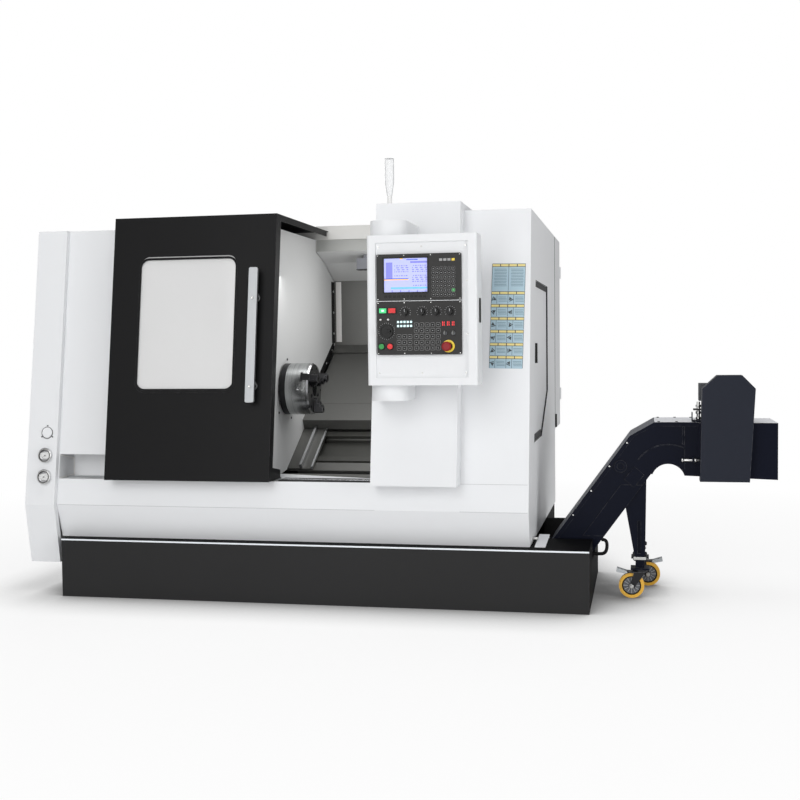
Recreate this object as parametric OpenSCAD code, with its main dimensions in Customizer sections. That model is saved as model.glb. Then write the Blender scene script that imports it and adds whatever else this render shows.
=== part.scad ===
// Slant-bed turning lathe with sliding door, swivelling control pendant and hinged-belt chip conveyor.
// Millimetres, +Z up, +X along the spindle towards the tailstock, +Y to the rear.
// The origin is on the floor under the middle of the base.

/* [Base] */
// Length of the base along the spindle
base_l = 2500; // [2400:10:2700]
// Depth of the base from front to rear
base_d = 1560; // [1500:10:1700]
// Height of the base
base_h = 277; // [240:1:300]
// Wall of the base
base_wall = 12; // [8:1:20]
// Floor plate of the base
base_floor = 16; // [10:1:24]
// Depth of the coolant tank at the right end
tank_d = 1000; // [900:10:1200]
// Length of the tank that stands out past the body
tank_l = 266; // [240:2:320]
// Depth of the ledge along the front of the base
ledge_d = 92; // [88:1:110]

/* [Enclosure] */
// Thickness of the enclosure sheets
sheet = 4; // [3:0.5:6]
// Overhang of the left end cover past the base
left_over = 187; // [170:1:220]
// Width of the left end cover's front
column_w = 152; // [130:1:170]
// How far the left end cover stands proud
column_proud = 28; // [20:1:36]
// Height of the left end cover's lower edge
column_bottom = 154; // [120:1:180]
// Forward line of the front panels, measured from the base front
bend_y = 30; // [20:1:40]
// Height of that forward line
bend_z = 437; // [420:1:450]
// Foot of the front panels, measured from the base front
foot_y = 80; // [70:1:86]
// Lean of the front panels from upright
slope = 8.5; // [6:0.1:10]
// Height of the right cover
right_top = 1800; // [1780:1:1850]
// Height of the left roof
left_top = 1763; // [1740:1:1776]
// Height of the rear hood over the working area
hood_top = 1838; // [1815:1:1860]
// Overhang of the enclosure's rear past the base
back_over = 73; // [40:1:100]
// Depth of the soffit under the rear hood
hood_d = 374; // [350:1:400]
// Height of the door sill
sill_z = 560; // [540:1:575]
// Depth of the door sill
sill_d = 162; // [150:1:180]
// Height of the lip behind the sill
sill_lip = 20; // [10:1:40]
// Lower edge of the fixed left panel
panel_z = 677; // [660:1:700]
// Diameter of the two pressure gauges
gauge_d = 63; // [50:1:70]
// Heights of the lower gauge, the upper gauge and the round cap
gauge_zs = [571, 673, 781];

/* [Door] */
// Width of the sliding door
door_w = 811; // [780:1:840]
// Left edge of the open door, measured from the base's left end
door_x = 245; // [220:1:270]
// How far the door stands proud of the front
door_proud = 86; // [80:1:94]
// Depth of the door's end flanges
door_flange = 62; // [50:1:70]
// Height of the door's top
door_top = 1808; // [1800:1:1820]
// Running gap of the door over its rails
door_gap = 0.3; // [0.3:0.1:0.6]
// Width of the window opening
window_w = 479; // [440:1:520]
// Left edge of the window opening within the door
window_in = 142; // [120:1:160]
// Lower edge of the window opening
window_z = 980; // [940:1:1020]
// Upper edge of the window opening
window_top = 1605; // [1560:1:1640]
// Corner radius of the window opening
window_r = 42; // [20:1:60]
// Overlap of the glass behind the opening
glass_lap = 15; // [10:1:25]
// Thickness of the glass
glass_t = 5; // [4:0.5:8]
// Width of the handle bar
grip_w = 42; // [30:1:50]

/* [Pillar and pendant] */
// Left edge of the control pillar, measured from the right side
pillar_in = 699; // [680:1:720]
// Width of the pillar
pillar_w = 390; // [360:1:420]
// How far the pillar stands proud of the front
pillar_proud = 101; // [96:1:120]
// Height of the pillar
pillar_top = 1833; // [1820:1:1850]
// Depth of the pillar's top box behind its front edge
pillar_top_d = 417; // [380:1:450]
// Radius of the swivel arms' round noses
arm_r = 82; // [60:1:90]
// Height of each swivel arm
arm_h = 68; // [50:1:80]
// Radius of the pendant's swivel pins
pin_r = 20; // [12:1:26]
// Radial clearance of pins and shafts in their holes
fit = 0.06; // [0.02:0.01:0.1]
// Width of the pendant
pend_w = 475; // [440:1:500]
// Height of the pendant
pend_h = 639; // [600:1:660]
// Depth of the pendant
pend_d = 150; // [130:1:160]
// Height of the pendant's lower edge
pend_z = 1014; // [990:1:1030]
// Frame round the pendant's recessed face
pend_rim = 38; // [30:1:40]
// Depth of the recessed face
pend_in = 8; // [5:0.5:10]
// Thickness of the display unit and the operator panel
unit_t = 14; // [13:0.5:18]

/* [Spindle and chuck] */
// Spindle axis behind the base front
axis_y = 470; // [450:1:500]
// Spindle axis above the floor
axis_z = 975; // [960:1:990]
// Chuck diameter
chuck_d = 254; // [230:1:260]
// Chuck thickness
chuck_t = 115; // [100:1:125]
// Chuck through bore
chuck_bore = 75; // [60:1:80]
// Working-area side of the spindle wall
wall_x = 984; // [970:1:1000]
// Spindle journal diameter
journal_d = 130; // [110:1:140]
// Outer diameter of the spindle bearings
bearing_d = 200; // [180:1:210]
// Thickness of the black adapter plate behind the chuck
adapter_t = 30; // [20:1:40]
// Width of the jaw slots
jaw_w = 36; // [30:1:40]
// Side clearance of the jaws in their slots
jaw_gap = 0.3; // [0.3:0.05:0.5]
// Turn of the first jaw about the spindle
jaw_turn = 30; // [0:1:119]

/* [Bed, carriage and tailstock] */
// Slant of the bed from level
bed_a = 30; // [28:1:32]
// Bed face below the spindle axis, square to the slant
bed_n = -400; // [-410:1:-395]
// Rail height
rail_h = 40; // [34:1:44]
// Rail width
rail_w = 40; // [34:1:46]
// Running clearance on the rails
run = 0.3; // [0.3:0.05:0.5]
// Carriage left side at rest, measured from the tail wall
saddle_in = 470; // [450:1:490]
// Carriage length along the spindle
saddle_l = 320; // [300:1:330]
// Ball screw diameter
screw_d = 32; // [28:1:36]
// Turret disc across its corners
turret_d = 320; // [280:1:340]
// Turret disc thickness
turret_t = 65; // [50:1:68]
// Tailstock left side at rest, measured from the tail wall
tail_in = 350; // [330:1:370]
// Tailstock length
tail_l = 240; // [220:1:260]
// Quill diameter
quill_d = 90; // [70:1:100]

/* [Chip conveyor] */
// Near side plate of the conveyor behind the base front
conv_y = 360; // [350:1:370]
// Width over the side plates
conv_w = 360; // [350:1:370]
// Plate thickness
conv_t = 5; // [3:0.5:6]
// Incline of the rising run
conv_a = 54; // [52:0.5:56]
// Height of the delivery run's top
conv_top = 818; // [800:1:840]
// Depth of the trough across its run
conv_dep = 178; // [172:1:186]
// Reach of the delivery head past the base
conv_out = 825; // [800:1:880]
// Height of the delivery head's underside
conv_low = 581; // [570:1:590]
// Depth of the chain guard
guard_d = 78; // [70:1:84]
// Caster wheel diameter
wheel_d = 116; // [104:1:128]
// Caster wheel width
wheel_w = 32; // [26:1:36]
// Trail of the casters
trail = 38; // [30:1:42]

/* [Electrical cabinet] */
// Width of the cabinet
cab_w = 984; // [900:1:1100]
// Depth of the cabinet box
cab_d = 388; // [360:1:420]
// Height of the cabinet's lower edge
cab_z = 700; // [650:1:740]
// Thickness of the cabinet door
cab_door_t = 24; // [18:1:30]

/* [Hidden] */
$fn = 96;
eps = 1;
x_left = -left_over;
x_col = x_left + column_w;
x_right = base_l - tank_l;
x_tail = x_right - 124;
body_back = base_d + back_over;
bed_back = base_d - base_wall - 18;
bed_s1 = (bed_back - 72 - axis_y + bed_n * sin(bed_a)) / cos(bed_a);
cover_n = -300;
soffit_y = sy(bed_s1 + 37, cover_n);
hood_y = soffit_y - hood_d;
conv_end = base_l + conv_out;
pillar_x = x_right - pillar_in;
saddle_x = x_tail - saddle_in;
tail_x = x_tail - tail_in;
pillar_x1 = pillar_x + pillar_w;
swivel_x = pillar_x + 117;
swivel_y = -130;
pend_x = swivel_x - 77;
pend_front = swivel_y - 110;
arm_gap = 0.5;
rail_top = bed_n + rail_h;
chuck_face = wall_x + 6 + adapter_t + chuck_t;
belt_x0 = 232;
belt_w = 70;
pulley_r = 110;
motor_r = 70;
motor_y = axis_y + 480;
motor_z = 560;
belt_t = 8;
belt_gap = 0.6;
bed_x0 = 330;
bed_x1 = x_right - 84;
head_x1 = wall_x - 44;
rails_s = [0.44 * bed_s1, bed_s1 - 130];
tail_s = [-90, 130];
screw_s = (rails_s[0] + rails_s[1]) / 2;
screw_n = bed_n + 22;
journal_r = 12;
saddle_s0 = rails_s[0] - 70;
saddle_s1 = bed_s1 - 60;
saddle_n = -255;
slide_rail_h = 25;
slide_n0 = saddle_n + slide_rail_h + run;
slide_n1 = -170;
turret_s = saddle_s0 + 90;
turret_x0 = saddle_x + 20 - turret_t;
pocket_w = 26;
tool_r = 222;
shaft_x = base_l + 605;
shaft_z = 720;
shaft_r = 20;
motor_shaft_z = 900;
leg_x = base_l + 215;
leg_ys = [conv_y + 32, conv_y + conv_w - 32];
caster_z = wheel_d + 20;
cab_x = x_right - cab_w;
cab_y = body_back + 7;
hatch_in = 8;
hatch_lap = 8;
hatch_back = 1130;
tank_gap = 6;
hinge_r = 3.5;
jaw_in = 42;
tee_t = 12;
tee_w = 7;
soffit = [[hood_y, 1700], [hood_y + 180, 1650], [soffit_y, 1560]];
seat = 0.05;

// Frames and outlines

module place() {
  translate([-base_l / 2, -base_d / 2, 0]) children();
}

// Front face of the enclosure at a height
function fy(z) = bend_y + (z - bend_z) * tan(slope);

// Height of the hood's soffit at a distance behind the hood's front
function soffit_z(d) = soffit[0][1] + d * (soffit[1][1] - soffit[0][1]) / (soffit[1][0] - soffit[0][0]);

// Distance up the leaning front face to a height
function hz(z) = (z - bend_z) / cos(slope);

// Depth and height of a point given along and square to the bed's slant
function sy(s, n) = axis_y + s * cos(bed_a) - n * sin(bed_a);
function sz(s, n) = axis_z + s * sin(bed_a) + n * cos(bed_a);

// An outline of depth and height, drawn out along X
module along_x(x0, x1, points) {
  translate([x0, 0, 0]) rotate([90, 0, 90]) linear_extrude(x1 - x0) polygon(points);
}

// An outline of length and height, drawn out along Y
module along_y(y0, y1) {
  translate([0, y1, 0]) rotate([90, 0, 0]) linear_extrude(y1 - y0) children();
}

// Length, depth behind and distance up the leaning front face
module on_front() {
  translate([0, bend_y, bend_z]) rotate([-slope, 0, 0]) children();
}

// Length, distance up the slant and distance above the spindle axis
module on_bed() {
  translate([0, axis_y, axis_z]) rotate([bed_a, 0, 0]) children();
}

module box(x0, x1, y0, y1, z0, z1) {
  translate([x0, y0, z0]) cube([x1 - x0, y1 - y0, z1 - z0]);
}

module x_cyl(x0, x1, r) {
  translate([x0, 0, 0]) rotate([0, 90, 0]) cylinder(h = x1 - x0, r = r);
}

module y_cyl(y0, y1, r) {
  translate([0, y1, 0]) rotate([90, 0, 0]) cylinder(h = y1 - y0, r = r);
}

// Rectangle with round corners
module round_rect(w, h, r) {
  translate([r, 0]) square([w - 2 * r, h]);
  translate([0, r]) square([w, h - 2 * r]);
  for (x = [r, w - r], y = [r, h - r]) translate([x, y]) circle(r);
}

// Position on the pendant's face: right, up and out towards the operator
module on_face() {
  translate([pend_x, pend_front, pend_z]) rotate([90, 0, 0]) children();
}

// Base and bed

module base_tank() place() color("#2b2b2b") {
  difference() {
    union() {
      cube([x_right, base_d, base_h]);
      cube([base_l, tank_d, base_h]);
    }
    box(base_wall, x_right - base_wall, base_wall, base_d - base_wall, base_floor, base_h + eps);
    box(base_wall, base_l - base_wall, base_wall, tank_d - base_wall, base_floor, base_h + eps);
    box(base_l - base_wall - eps, base_l + eps, conv_y - 10, conv_y + conv_w + 10, 180, base_h + eps);
  }
  box(0, base_l, 0, ledge_d, base_h - 8, base_h);
  box(x_right + tank_gap, base_l, 0, conv_y - 20, base_h - 8, base_h);
}

function bed_line(y) = sz((y - axis_y + bed_n * sin(bed_a)) / cos(bed_a), bed_n);

module bed() place() color("#6b7075") {
  front = conv_y + conv_w + 20;
  wall = 45;
  s0 = -190;
  bays = 3;
  bay = (bed_x1 - bed_x0 - wall) / bays;
  difference() {
    along_x(bed_x0, bed_x1, [[sy(s0, bed_n), sz(s0, bed_n)], [sy(bed_s1, bed_n), sz(bed_s1, bed_n)],
      [bed_back, sz(bed_s1, bed_n)], [bed_back, base_floor], [front, base_floor], [front, 330],
      [sy(s0, bed_n), sz(s0, bed_n) - 80]]);
    for (i = [0 : bays - 1])
      along_x(bed_x0 + wall + i * bay, bed_x0 + (i + 1) * bay, [[front + wall, base_floor - eps],
        [front + wall, bed_line(front + wall) - 60], [bed_back - wall, bed_line(bed_back - wall) - 60],
        [bed_back - wall, base_floor - eps]]);
  }
  for (x = [wall_x + 16, x_tail - 60])
    on_bed() difference() {
      box(x, x + 44, screw_s - 40, screw_s + 40, bed_n - eps, screw_n + 24);
      translate([0, screw_s, screw_n]) x_cyl(x - eps, x + 44 + eps, journal_r + fit);
    }
}

module rail(x0, x1, s) {
  difference() {
    box(x0, x1, s - rail_w / 2, s + rail_w / 2, bed_n + seat, rail_top);
    for (k = [-1, 1])
      translate([0, s + k * rail_w / 2, bed_n + rail_h / 2]) rotate([45, 0, 0])
        box(x0 - eps, x1 + eps, -5, 5, -5, 5);
  }
}

module way_rails() place() color("#c8ccd0") {
  on_bed() {
    for (s = rails_s) rail(wall_x + 40, x_tail - 20, s);
    for (s = tail_s) rail(wall_x + 40, x_tail - 20, s);
  }
  box(x_col + 10, pillar_x, 118, 140, sill_z, sill_z + 6);
  box(x_col, pillar_x, hood_y - 12, hood_y, left_top, door_top - sheet - door_gap);
}

module z_screw() place() color("#d4d6d8") on_bed() translate([0, screw_s, screw_n]) {
  x_cyl(wall_x + 62, x_tail - 62, screw_d / 2);
  x_cyl(wall_x + 20, x_tail - 10, journal_r);
}

// Spindle drive

module headstock() place() color("#7a8085") on_bed() difference() {
  translate([bed_x0, 0, 0]) rotate([90, 0, 90]) linear_extrude(head_x1 - bed_x0)
    polygon([[-170, bed_n + seat], [300, bed_n + seat], [300, 60], [170, 190], [-90, 190], [-170, 110]]);
  x_cyl(bed_x0 - eps, head_x1 + eps, bearing_d / 2);
  box(bed_x0 + 60, head_x1 - 60, -120, 250, bed_n - eps, -150);
}

module spindle_bearings() place() color("#c9cdd1") translate([0, axis_y, axis_z])
  for (x = [[bed_x0 + 20, bed_x0 + 90], [head_x1 - 110, head_x1 - 20]])
    difference() {
      x_cyl(x[0], x[1], bearing_d / 2 - seat);
      x_cyl(x[0] - eps, x[1] + eps, journal_d / 2 + fit);
    }

module spindle() place() color("#303235") translate([0, axis_y, axis_z]) difference() {
  union() {
    x_cyl(10, 190, 90);
    x_cyl(190, belt_x0, 52);
    x_cyl(belt_x0, belt_x0 + belt_w, pulley_r);
    x_cyl(belt_x0 + belt_w, head_x1 + 10, journal_d / 2);
    x_cyl(head_x1 + 6, wall_x + 6, 105);
    x_cyl(wall_x + 6, wall_x + 6 + adapter_t, chuck_d / 2);
  }
  x_cyl(10 - eps, chuck_face, chuck_bore / 2 + 2);
}

module chuck() place() color("#b9bdc2") translate([0, axis_y, axis_z]) difference() {
  union() {
    x_cyl(chuck_face - chuck_t, chuck_face - 8, chuck_d / 2);
    translate([chuck_face - 8, 0, 0]) rotate([0, 90, 0])
      cylinder(h = 8, r1 = chuck_d / 2, r2 = chuck_d / 2 - 6);
  }
  x_cyl(chuck_face - chuck_t - eps, chuck_face + eps, chuck_bore / 2);
  for (x = [chuck_face - 84, chuck_face - 18]) difference() {
    x_cyl(x, x + 3, chuck_d / 2 + eps);
    x_cyl(x - eps, x + 3 + eps, chuck_d / 2 - 2);
  }
  for (i = [0 : 2]) rotate([jaw_turn + 120 * i, 0, 0]) {
    box(chuck_face - jaw_in, chuck_face + eps, chuck_bore / 2 + 9, chuck_d, -jaw_w / 2, jaw_w / 2);
    box(chuck_face - jaw_in, chuck_face - jaw_in + tee_t, chuck_bore / 2 + 9, chuck_d,
      -jaw_w / 2 - tee_w, jaw_w / 2 + tee_w);
    rotate([60, 0, 0]) {
      translate([0, 66, 0]) x_cyl(chuck_face - 30, chuck_face + eps, 10);
      for (k = [-24, 24])
        rotate([k, 0, 0]) translate([0, 106, 0]) x_cyl(chuck_face - 20, chuck_face + eps, 6);
    }
    rotate([28, 0, 0]) translate([chuck_face - 50, 0, 0]) rotate([-90, 0, 0])
      translate([0, 0, chuck_d / 2 - 14]) cylinder(h = 20, r = 6);
  }
}

// One step of a jaw, from its inner radius outwards, with a pointed gripping end
module jaw_step(x0, x1, r, h) {
  along_x(chuck_face + x0, chuck_face + x1, [[r, -6], [r + 11, -h], [chuck_d / 2 - 14, -h],
    [chuck_d / 2 - 8, 6 - h], [chuck_d / 2 - 8, h - 6], [chuck_d / 2 - 14, h], [r + 11, h], [r, 6]]);
}

module jaw(i) {
  h = jaw_w / 2 - jaw_gap;
  place() color("#232427") translate([0, axis_y, axis_z]) rotate([jaw_turn + 120 * i, 0, 0])
    difference() {
      union() {
        box(chuck_face - jaw_in + jaw_gap, chuck_face + 4, 52, chuck_d / 2 - 6, -h, h);
        box(chuck_face - jaw_in + jaw_gap, chuck_face - jaw_in + tee_t - jaw_gap, 52, chuck_d / 2 - 6,
          -h - tee_w, h + tee_w);
        jaw_step(3, 17, 44, h + 2);
        jaw_step(16, 31, 62, h + 2);
        jaw_step(30, 44, 80, h + 2);
      }
      for (r = [72, 102]) translate([0, r, 0]) {
        x_cyl(chuck_face + 24, chuck_face + 46, 9);
        x_cyl(chuck_face + 8, chuck_face + 25, 5);
      }
    }
}

module jaw_1() jaw(0);
module jaw_2() jaw(1);
module jaw_3() jaw(2);

module spindle_motor() place() color("#3a3f45") {
  translate([0, motor_y, motor_z]) difference() {
    x_cyl(-110, 220, 130);
    for (k = [0 : 7]) rotate([45 * k + 22.5, 0, 0]) box(-80, 190, 122, 140, -12, 12);
  }
  translate([0, motor_y, motor_z]) x_cyl(220, belt_x0 + 20, 24);
  box(20, 200, motor_y - 150, motor_y + 150, 400, 440);
  for (y = [motor_y - 150, motor_y + 120]) box(20, 200, y, y + 30, base_floor, 400);
}

module motor_pulley() place() color("#8a8e92") translate([0, motor_y, motor_z]) difference() {
  x_cyl(belt_x0, belt_x0 + belt_w, motor_r);
  x_cyl(belt_x0 - eps, belt_x0 + 20 + run, 24 + fit);
}

// Two round ends joined by their outer tangents
module belt_outline(g) {
  d = [motor_y - axis_y, motor_z - axis_z];
  a = atan2(d[1], d[0]);
  lean = acos((pulley_r - motor_r) / norm(d));
  steps = 32;
  polygon(concat(
    [for (i = [0 : steps]) let (t = a + lean + (360 - 2 * lean) * i / steps)
      (pulley_r + g) * [cos(t), sin(t)]],
    [for (i = [0 : steps]) let (t = a - lean + 2 * lean * i / steps)
      d + (motor_r + g) * [cos(t), sin(t)]]));
}

module drive_belt() place() color("#17181a") translate([belt_x0 + 5, axis_y, axis_z])
  rotate([90, 0, 90]) linear_extrude(belt_w - 10) difference() {
    belt_outline(belt_gap + belt_t);
    belt_outline(belt_gap);
  }

// Enclosure

module left_cover() place() color("#e6e7e9") {
  p = column_proud;
  x0 = x_left + sheet;
  difference() {
    along_x(x_left, x_col, [[foot_y - p, column_bottom], [bend_y - p, bend_z],
      [fy(left_top) - p, left_top], [body_back, left_top], [body_back, column_bottom]]);
    along_x(x0, x_col - sheet, [[foot_y - p + sheet, column_bottom - eps], [bend_y - p + sheet, bend_z],
      [fy(left_top) - p + sheet, left_top - sheet], [body_back - sheet, left_top - sheet],
      [body_back - sheet, column_bottom - eps]]);
    along_x(x_col - sheet - eps, x_col + eps, [[foot_y + sheet, column_bottom - eps],
      [bend_y + sheet, bend_z], [fy(left_top) + sheet, left_top - sheet],
      [body_back - sheet, left_top - sheet], [body_back - sheet, column_bottom - eps]]);
  }
  on_front() translate([x_left + column_w * 0.65, sheet / 2 - p * cos(slope), hz(gauge_zs[2])])
    rotate([90, 0, 0]) cylinder(h = 3 + sheet / 2, r = 27);
}

module gauges() place() color("#d9dadb") on_front()
  for (i = [0, 1])
    translate([x_left + column_w * 0.65, -column_proud * cos(slope), hz(gauge_zs[i])]) rotate([90, 0, 0])
      difference() {
        cylinder(h = 18, r = gauge_d / 2);
        translate([0, 0, 12]) cylinder(h = 10, r = gauge_d / 2 - 4);
      }

// A leaning front sheet between two heights
module front_sheet(x0, x1, z0, z1) {
  along_x(x0, x1, [[fy(z0), z0], [fy(z1), z1], [fy(z1) + sheet, z1], [fy(z0) + sheet, z0]]);
}

module apron() place() color("#e6e7e9") {
  back = fy(sill_z) + sill_d;
  front_sheet(x_col, wall_x, panel_z, left_top);
  along_x(x_col, x_col + sheet, [[fy(sill_z), sill_z - 1], [fy(panel_z), panel_z + 1],
    [back + sheet, panel_z + 1], [back + sheet, sill_z - 1]]);
  box(x_col, wall_x, back, back + sheet, sill_z - 1, panel_z + 14);
  along_x(x_col, pillar_x, [[foot_y, base_h], [bend_y, bend_z], [fy(sill_z), sill_z], [back, sill_z],
    [back, sill_z + sill_lip], [back + sheet, sill_z + sill_lip], [back + sheet, sill_z - sheet],
    [fy(sill_z) + sheet, sill_z - sheet], [bend_y + sheet, bend_z], [foot_y + sheet, base_h]]);
  along_x(pillar_x, x_right - sheet, [[foot_y, base_h], [bend_y, bend_z], [fy(sill_z), sill_z],
    [fy(sill_z) + sheet, sill_z], [bend_y + sheet, bend_z], [foot_y + sheet, base_h]]);
  along_x(wall_x, x_tail, [[back, sill_z - sheet], [back + sheet, sill_z - sheet],
    [conv_y - 6, base_h - 20], [conv_y - 6 - sheet, base_h - 20]]);
}

// Outline of the side hatch in depth and height, drawn in by g
function hatch_outline(g) = [[fy(727) + 250 + g, 727 + g], [740 - 0.4 * g, 727 + g],
  [hatch_back - g, 940 + 0.6 * g], [hatch_back - g, 1487 - g], [fy(1487) + 250 + g, 1487 - g]];

module right_cover() place() color("#e6e7e9") {
  along_x(pillar_x, x_right - sheet, [[fy(sill_z), sill_z], [fy(right_top), right_top],
    [fy(right_top) + sheet, right_top], [fy(sill_z) + sheet, sill_z]]);
  difference() {
    along_x(x_right - sheet, x_right, [[foot_y, base_h], [bend_y, bend_z], [fy(right_top), right_top],
      [body_back, right_top], [body_back, base_h]]);
    along_x(x_right - sheet - eps, x_right + eps, hatch_outline(0));
  }
}

module side_hatch() place() color("#e6e7e9") {
  x0 = x_right - sheet - hatch_in;
  difference() {
    along_x(x0, x_right - sheet, hatch_outline(-hatch_lap));
    along_x(x0 + sheet, x_right, hatch_outline(sheet - hatch_lap));
  }
  box(x0 + 1, x_right + 10, fy(1140) + 262, fy(1140) + 276, 1095, 1189);
}

module roof_cover() place() color("#e6e7e9") {
  box(x_col, wall_x, fy(left_top) + sheet, body_back - sheet, left_top - sheet, left_top);
  box(pillar_x, x_right - sheet, fy(right_top) + sheet, body_back - sheet, right_top - sheet, right_top);
  box(x_col, x_right - sheet, body_back - sheet, body_back, base_h, left_top);
  box(wall_x, x_right - sheet, body_back - sheet, body_back, left_top, right_top);
  difference() {
    box(wall_x, pillar_x1, hood_y, body_back, 1700, hood_top);
    box(wall_x + sheet, pillar_x1 - sheet, hood_y + sheet, body_back + eps, 1700 - eps, hood_top - sheet);
    box(pillar_x, pillar_x1 + eps, hood_y - eps, body_back + eps, 1700 - eps, right_top);
  }
  along_x(wall_x, x_tail, concat(soffit, [for (i = [2 : -1 : 0]) soffit[i] + [0, sheet]]));
}

// Outline of the walls at both ends of the working area
function wall_outline() = [[fy(panel_z + 20) + sill_d + 2 * sheet, panel_z + 20],
  [fy(panel_z + 20) + sheet, panel_z + 20], [fy(left_top) + sheet, left_top - sheet],
  [hood_y - 4, left_top - sheet], [hood_y - 4, 1698], [hood_y + 180, 1648], soffit[2] - [4, 4],
  [soffit_y - 4, sz(bed_s1 + 35, cover_n + 8)],
  [sy(saddle_s0 - 4, cover_n + 8), sz(saddle_s0 - 4, cover_n + 8)],
  [sy(saddle_s0 - 4, rail_top + 2), sz(saddle_s0 - 4, rail_top + 2)],
  [sy(-185, rail_top + 2), sz(-185, rail_top + 2)],
  [fy(sill_z) + sill_d + 2 * sheet, sill_z - 20]];

module end_walls() place() color("#dfe1e3") {
  difference() {
    along_x(wall_x - sheet, wall_x, wall_outline());
    translate([0, axis_y, axis_z]) x_cyl(wall_x - sheet - eps, wall_x + eps, 112);
  }
  along_x(x_tail, x_tail + sheet, wall_outline());
}

module back_guard() place() color("#5d6166") {
  box(wall_x, x_tail, soffit_y, soffit_y + 4, sz(bed_s1 + 35, cover_n), soffit[2][1] + 20);
  on_bed() {
    box(wall_x, x_tail, saddle_s1 + 12, bed_s1 + 39, cover_n, cover_n + 3);
    box(wall_x, x_tail, 170, saddle_s0 - 8, cover_n, cover_n + 3);
    box(wall_x, x_tail, 165, 170, rail_top + 6, cover_n + 3);
    box(wall_x, x_tail, -192, -126, rail_top - 4, rail_top);
    box(wall_x + 40, x_tail - 20, -160, -140, bed_n + seat, rail_top - 3);
    for (step = [[0, 72, 6], [66, 78, 30], [72, 134, 4], [124, 134, 18]])
      box(wall_x + step[0], wall_x + step[1], -190, 160, rail_top + 4, rail_top + 4 + step[2]);
  }
}

module work_lamp() place() color("#2a2c2e") {
  box(1200, 1296, hood_y + 40, hood_y + 100, 1604, 1664);
  along_x(1236, 1260, [[hood_y + 58, 1660], [hood_y + 58, soffit_z(58)], [hood_y + 82, soffit_z(82)],
    [hood_y + 82, 1660]]);
}

// Door

module door_shell() place() color("#1f2022") {
  x1 = door_x + door_w;
  z0 = sill_z + 6 + door_gap;
  front = [[fy(z0) - door_proud, z0], [fy(door_top) - door_proud, door_top]];
  tail = hood_y - 2;
  lean = sheet * tan(slope);
  difference() {
    along_x(door_x, x1, [front[0], front[1], [tail, door_top], [tail, door_top - sheet],
      front[1] + [sheet - lean, -sheet], front[0] + [sheet + lean, sheet], [156, z0 + sheet], [156, z0]]);
    on_front() translate([door_x + window_in, 0, hz(window_z)]) rotate([90, 0, 0])
      translate([0, 0, door_proud - 30]) linear_extrude(60)
        round_rect(window_w, hz(window_top) - hz(window_z), window_r);
  }
  for (x = [door_x, x1 - sheet])
    along_x(x, x + sheet, [front[0] + [sheet + lean, sheet], front[1] + [sheet - lean, -sheet],
      [tail - 40, door_top - sheet], [tail - 40, door_top - 30],
      front[1] + [door_flange, -30], front[0] + [door_flange, 60], [140, z0 + 40], [140, z0 + sheet]]);
}

module door_window() place() color("#9fa6ac") on_front()
  translate([door_x + window_in - glass_lap, -door_proud * cos(slope) + sheet * cos(slope) + 0.02,
    hz(window_z) - glass_lap])
    rotate([90, 0, 0]) translate([0, 0, -glass_t]) linear_extrude(glass_t)
      round_rect(window_w + 2 * glass_lap, hz(window_top) - hz(window_z) + 2 * glass_lap,
        window_r + glass_lap);

module door_handle() place() color("#b8bbbf") on_front() {
  x = door_x + door_w - 88;
  d = -door_proud * cos(slope);
  translate([x - grip_w / 2, d - 40, hz(911)]) rotate([90, 0, 0]) linear_extrude(16)
    round_rect(grip_w, hz(1532) - hz(911), 8);
  for (z = [1004, 1411]) translate([x, d, hz(z)]) rotate([90, 0, 0]) cylinder(h = 41, r = 13);
}

// Pillar, lights and pendant

module arm(z) {
  difference() {
    union() {
      translate([swivel_x, swivel_y, z]) cylinder(h = arm_h, r = arm_r);
      box(swivel_x - arm_r, swivel_x + arm_r, swivel_y, fy(z) - pillar_proud + 12, z, z + arm_h);
    }
    translate([swivel_x, swivel_y, z - eps]) cylinder(h = arm_h + 2 * eps, r = pin_r + fit);
  }
}

module pillar() place() color("#e6e7e9") {
  p = pillar_proud;
  z0 = sill_z - 2;
  back = fy(pillar_top) - p + pillar_top_d;
  difference() {
    along_x(pillar_x, pillar_x1, [[fy(z0) - p, z0], [fy(pillar_top) - p, pillar_top], [back, pillar_top],
      [back, right_top], [fy(right_top), right_top], [fy(z0), z0]]);
    along_x(pillar_x + sheet, pillar_x1 - sheet, [[fy(z0) - p + sheet, z0 + sheet],
      [fy(pillar_top) - p + sheet, pillar_top - sheet], [back - sheet, pillar_top - sheet],
      [back - sheet, right_top - eps], [fy(right_top) + eps, right_top - eps], [fy(z0) + eps, z0 + sheet]]);
  }
  arm(pend_z + pend_h + arm_gap);
  arm(pend_z - arm_gap - arm_h);
}

module signal_light() place() color("#e9ecee") translate([pillar_x + 28, 300, pillar_top]) {
  cylinder(h = 8, r = 26);
  cylinder(h = 56, r = 11);
  translate([0, 0, 55]) cylinder(h = 66, r1 = 12, r2 = 21.5);
  translate([0, 0, 121]) cylinder(h = 108, r = 21.5);
}

module pendant_case() place() color("#e6e7e9") {
  difference() {
    translate([pend_x, pend_front, pend_z]) linear_extrude(pend_h) round_rect(pend_w, pend_d, 12);
    on_face() box(pend_rim, pend_w - pend_rim, pend_rim - 6, pend_h - pend_rim + 6, -pend_in, eps);
  }
  translate([swivel_x, swivel_y, pend_z + pend_h]) cylinder(h = arm_h - 10, r = pin_r);
  translate([swivel_x, swivel_y, pend_z - arm_h + 10]) cylinder(h = arm_h - 10, r = pin_r);
}

unit_w = 365;
unit_x = 44;
disp_y = 360;
disp_h = 197;
oper_y = 130;
oper_h = 227;
unit_top = unit_t - pend_in;

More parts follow.
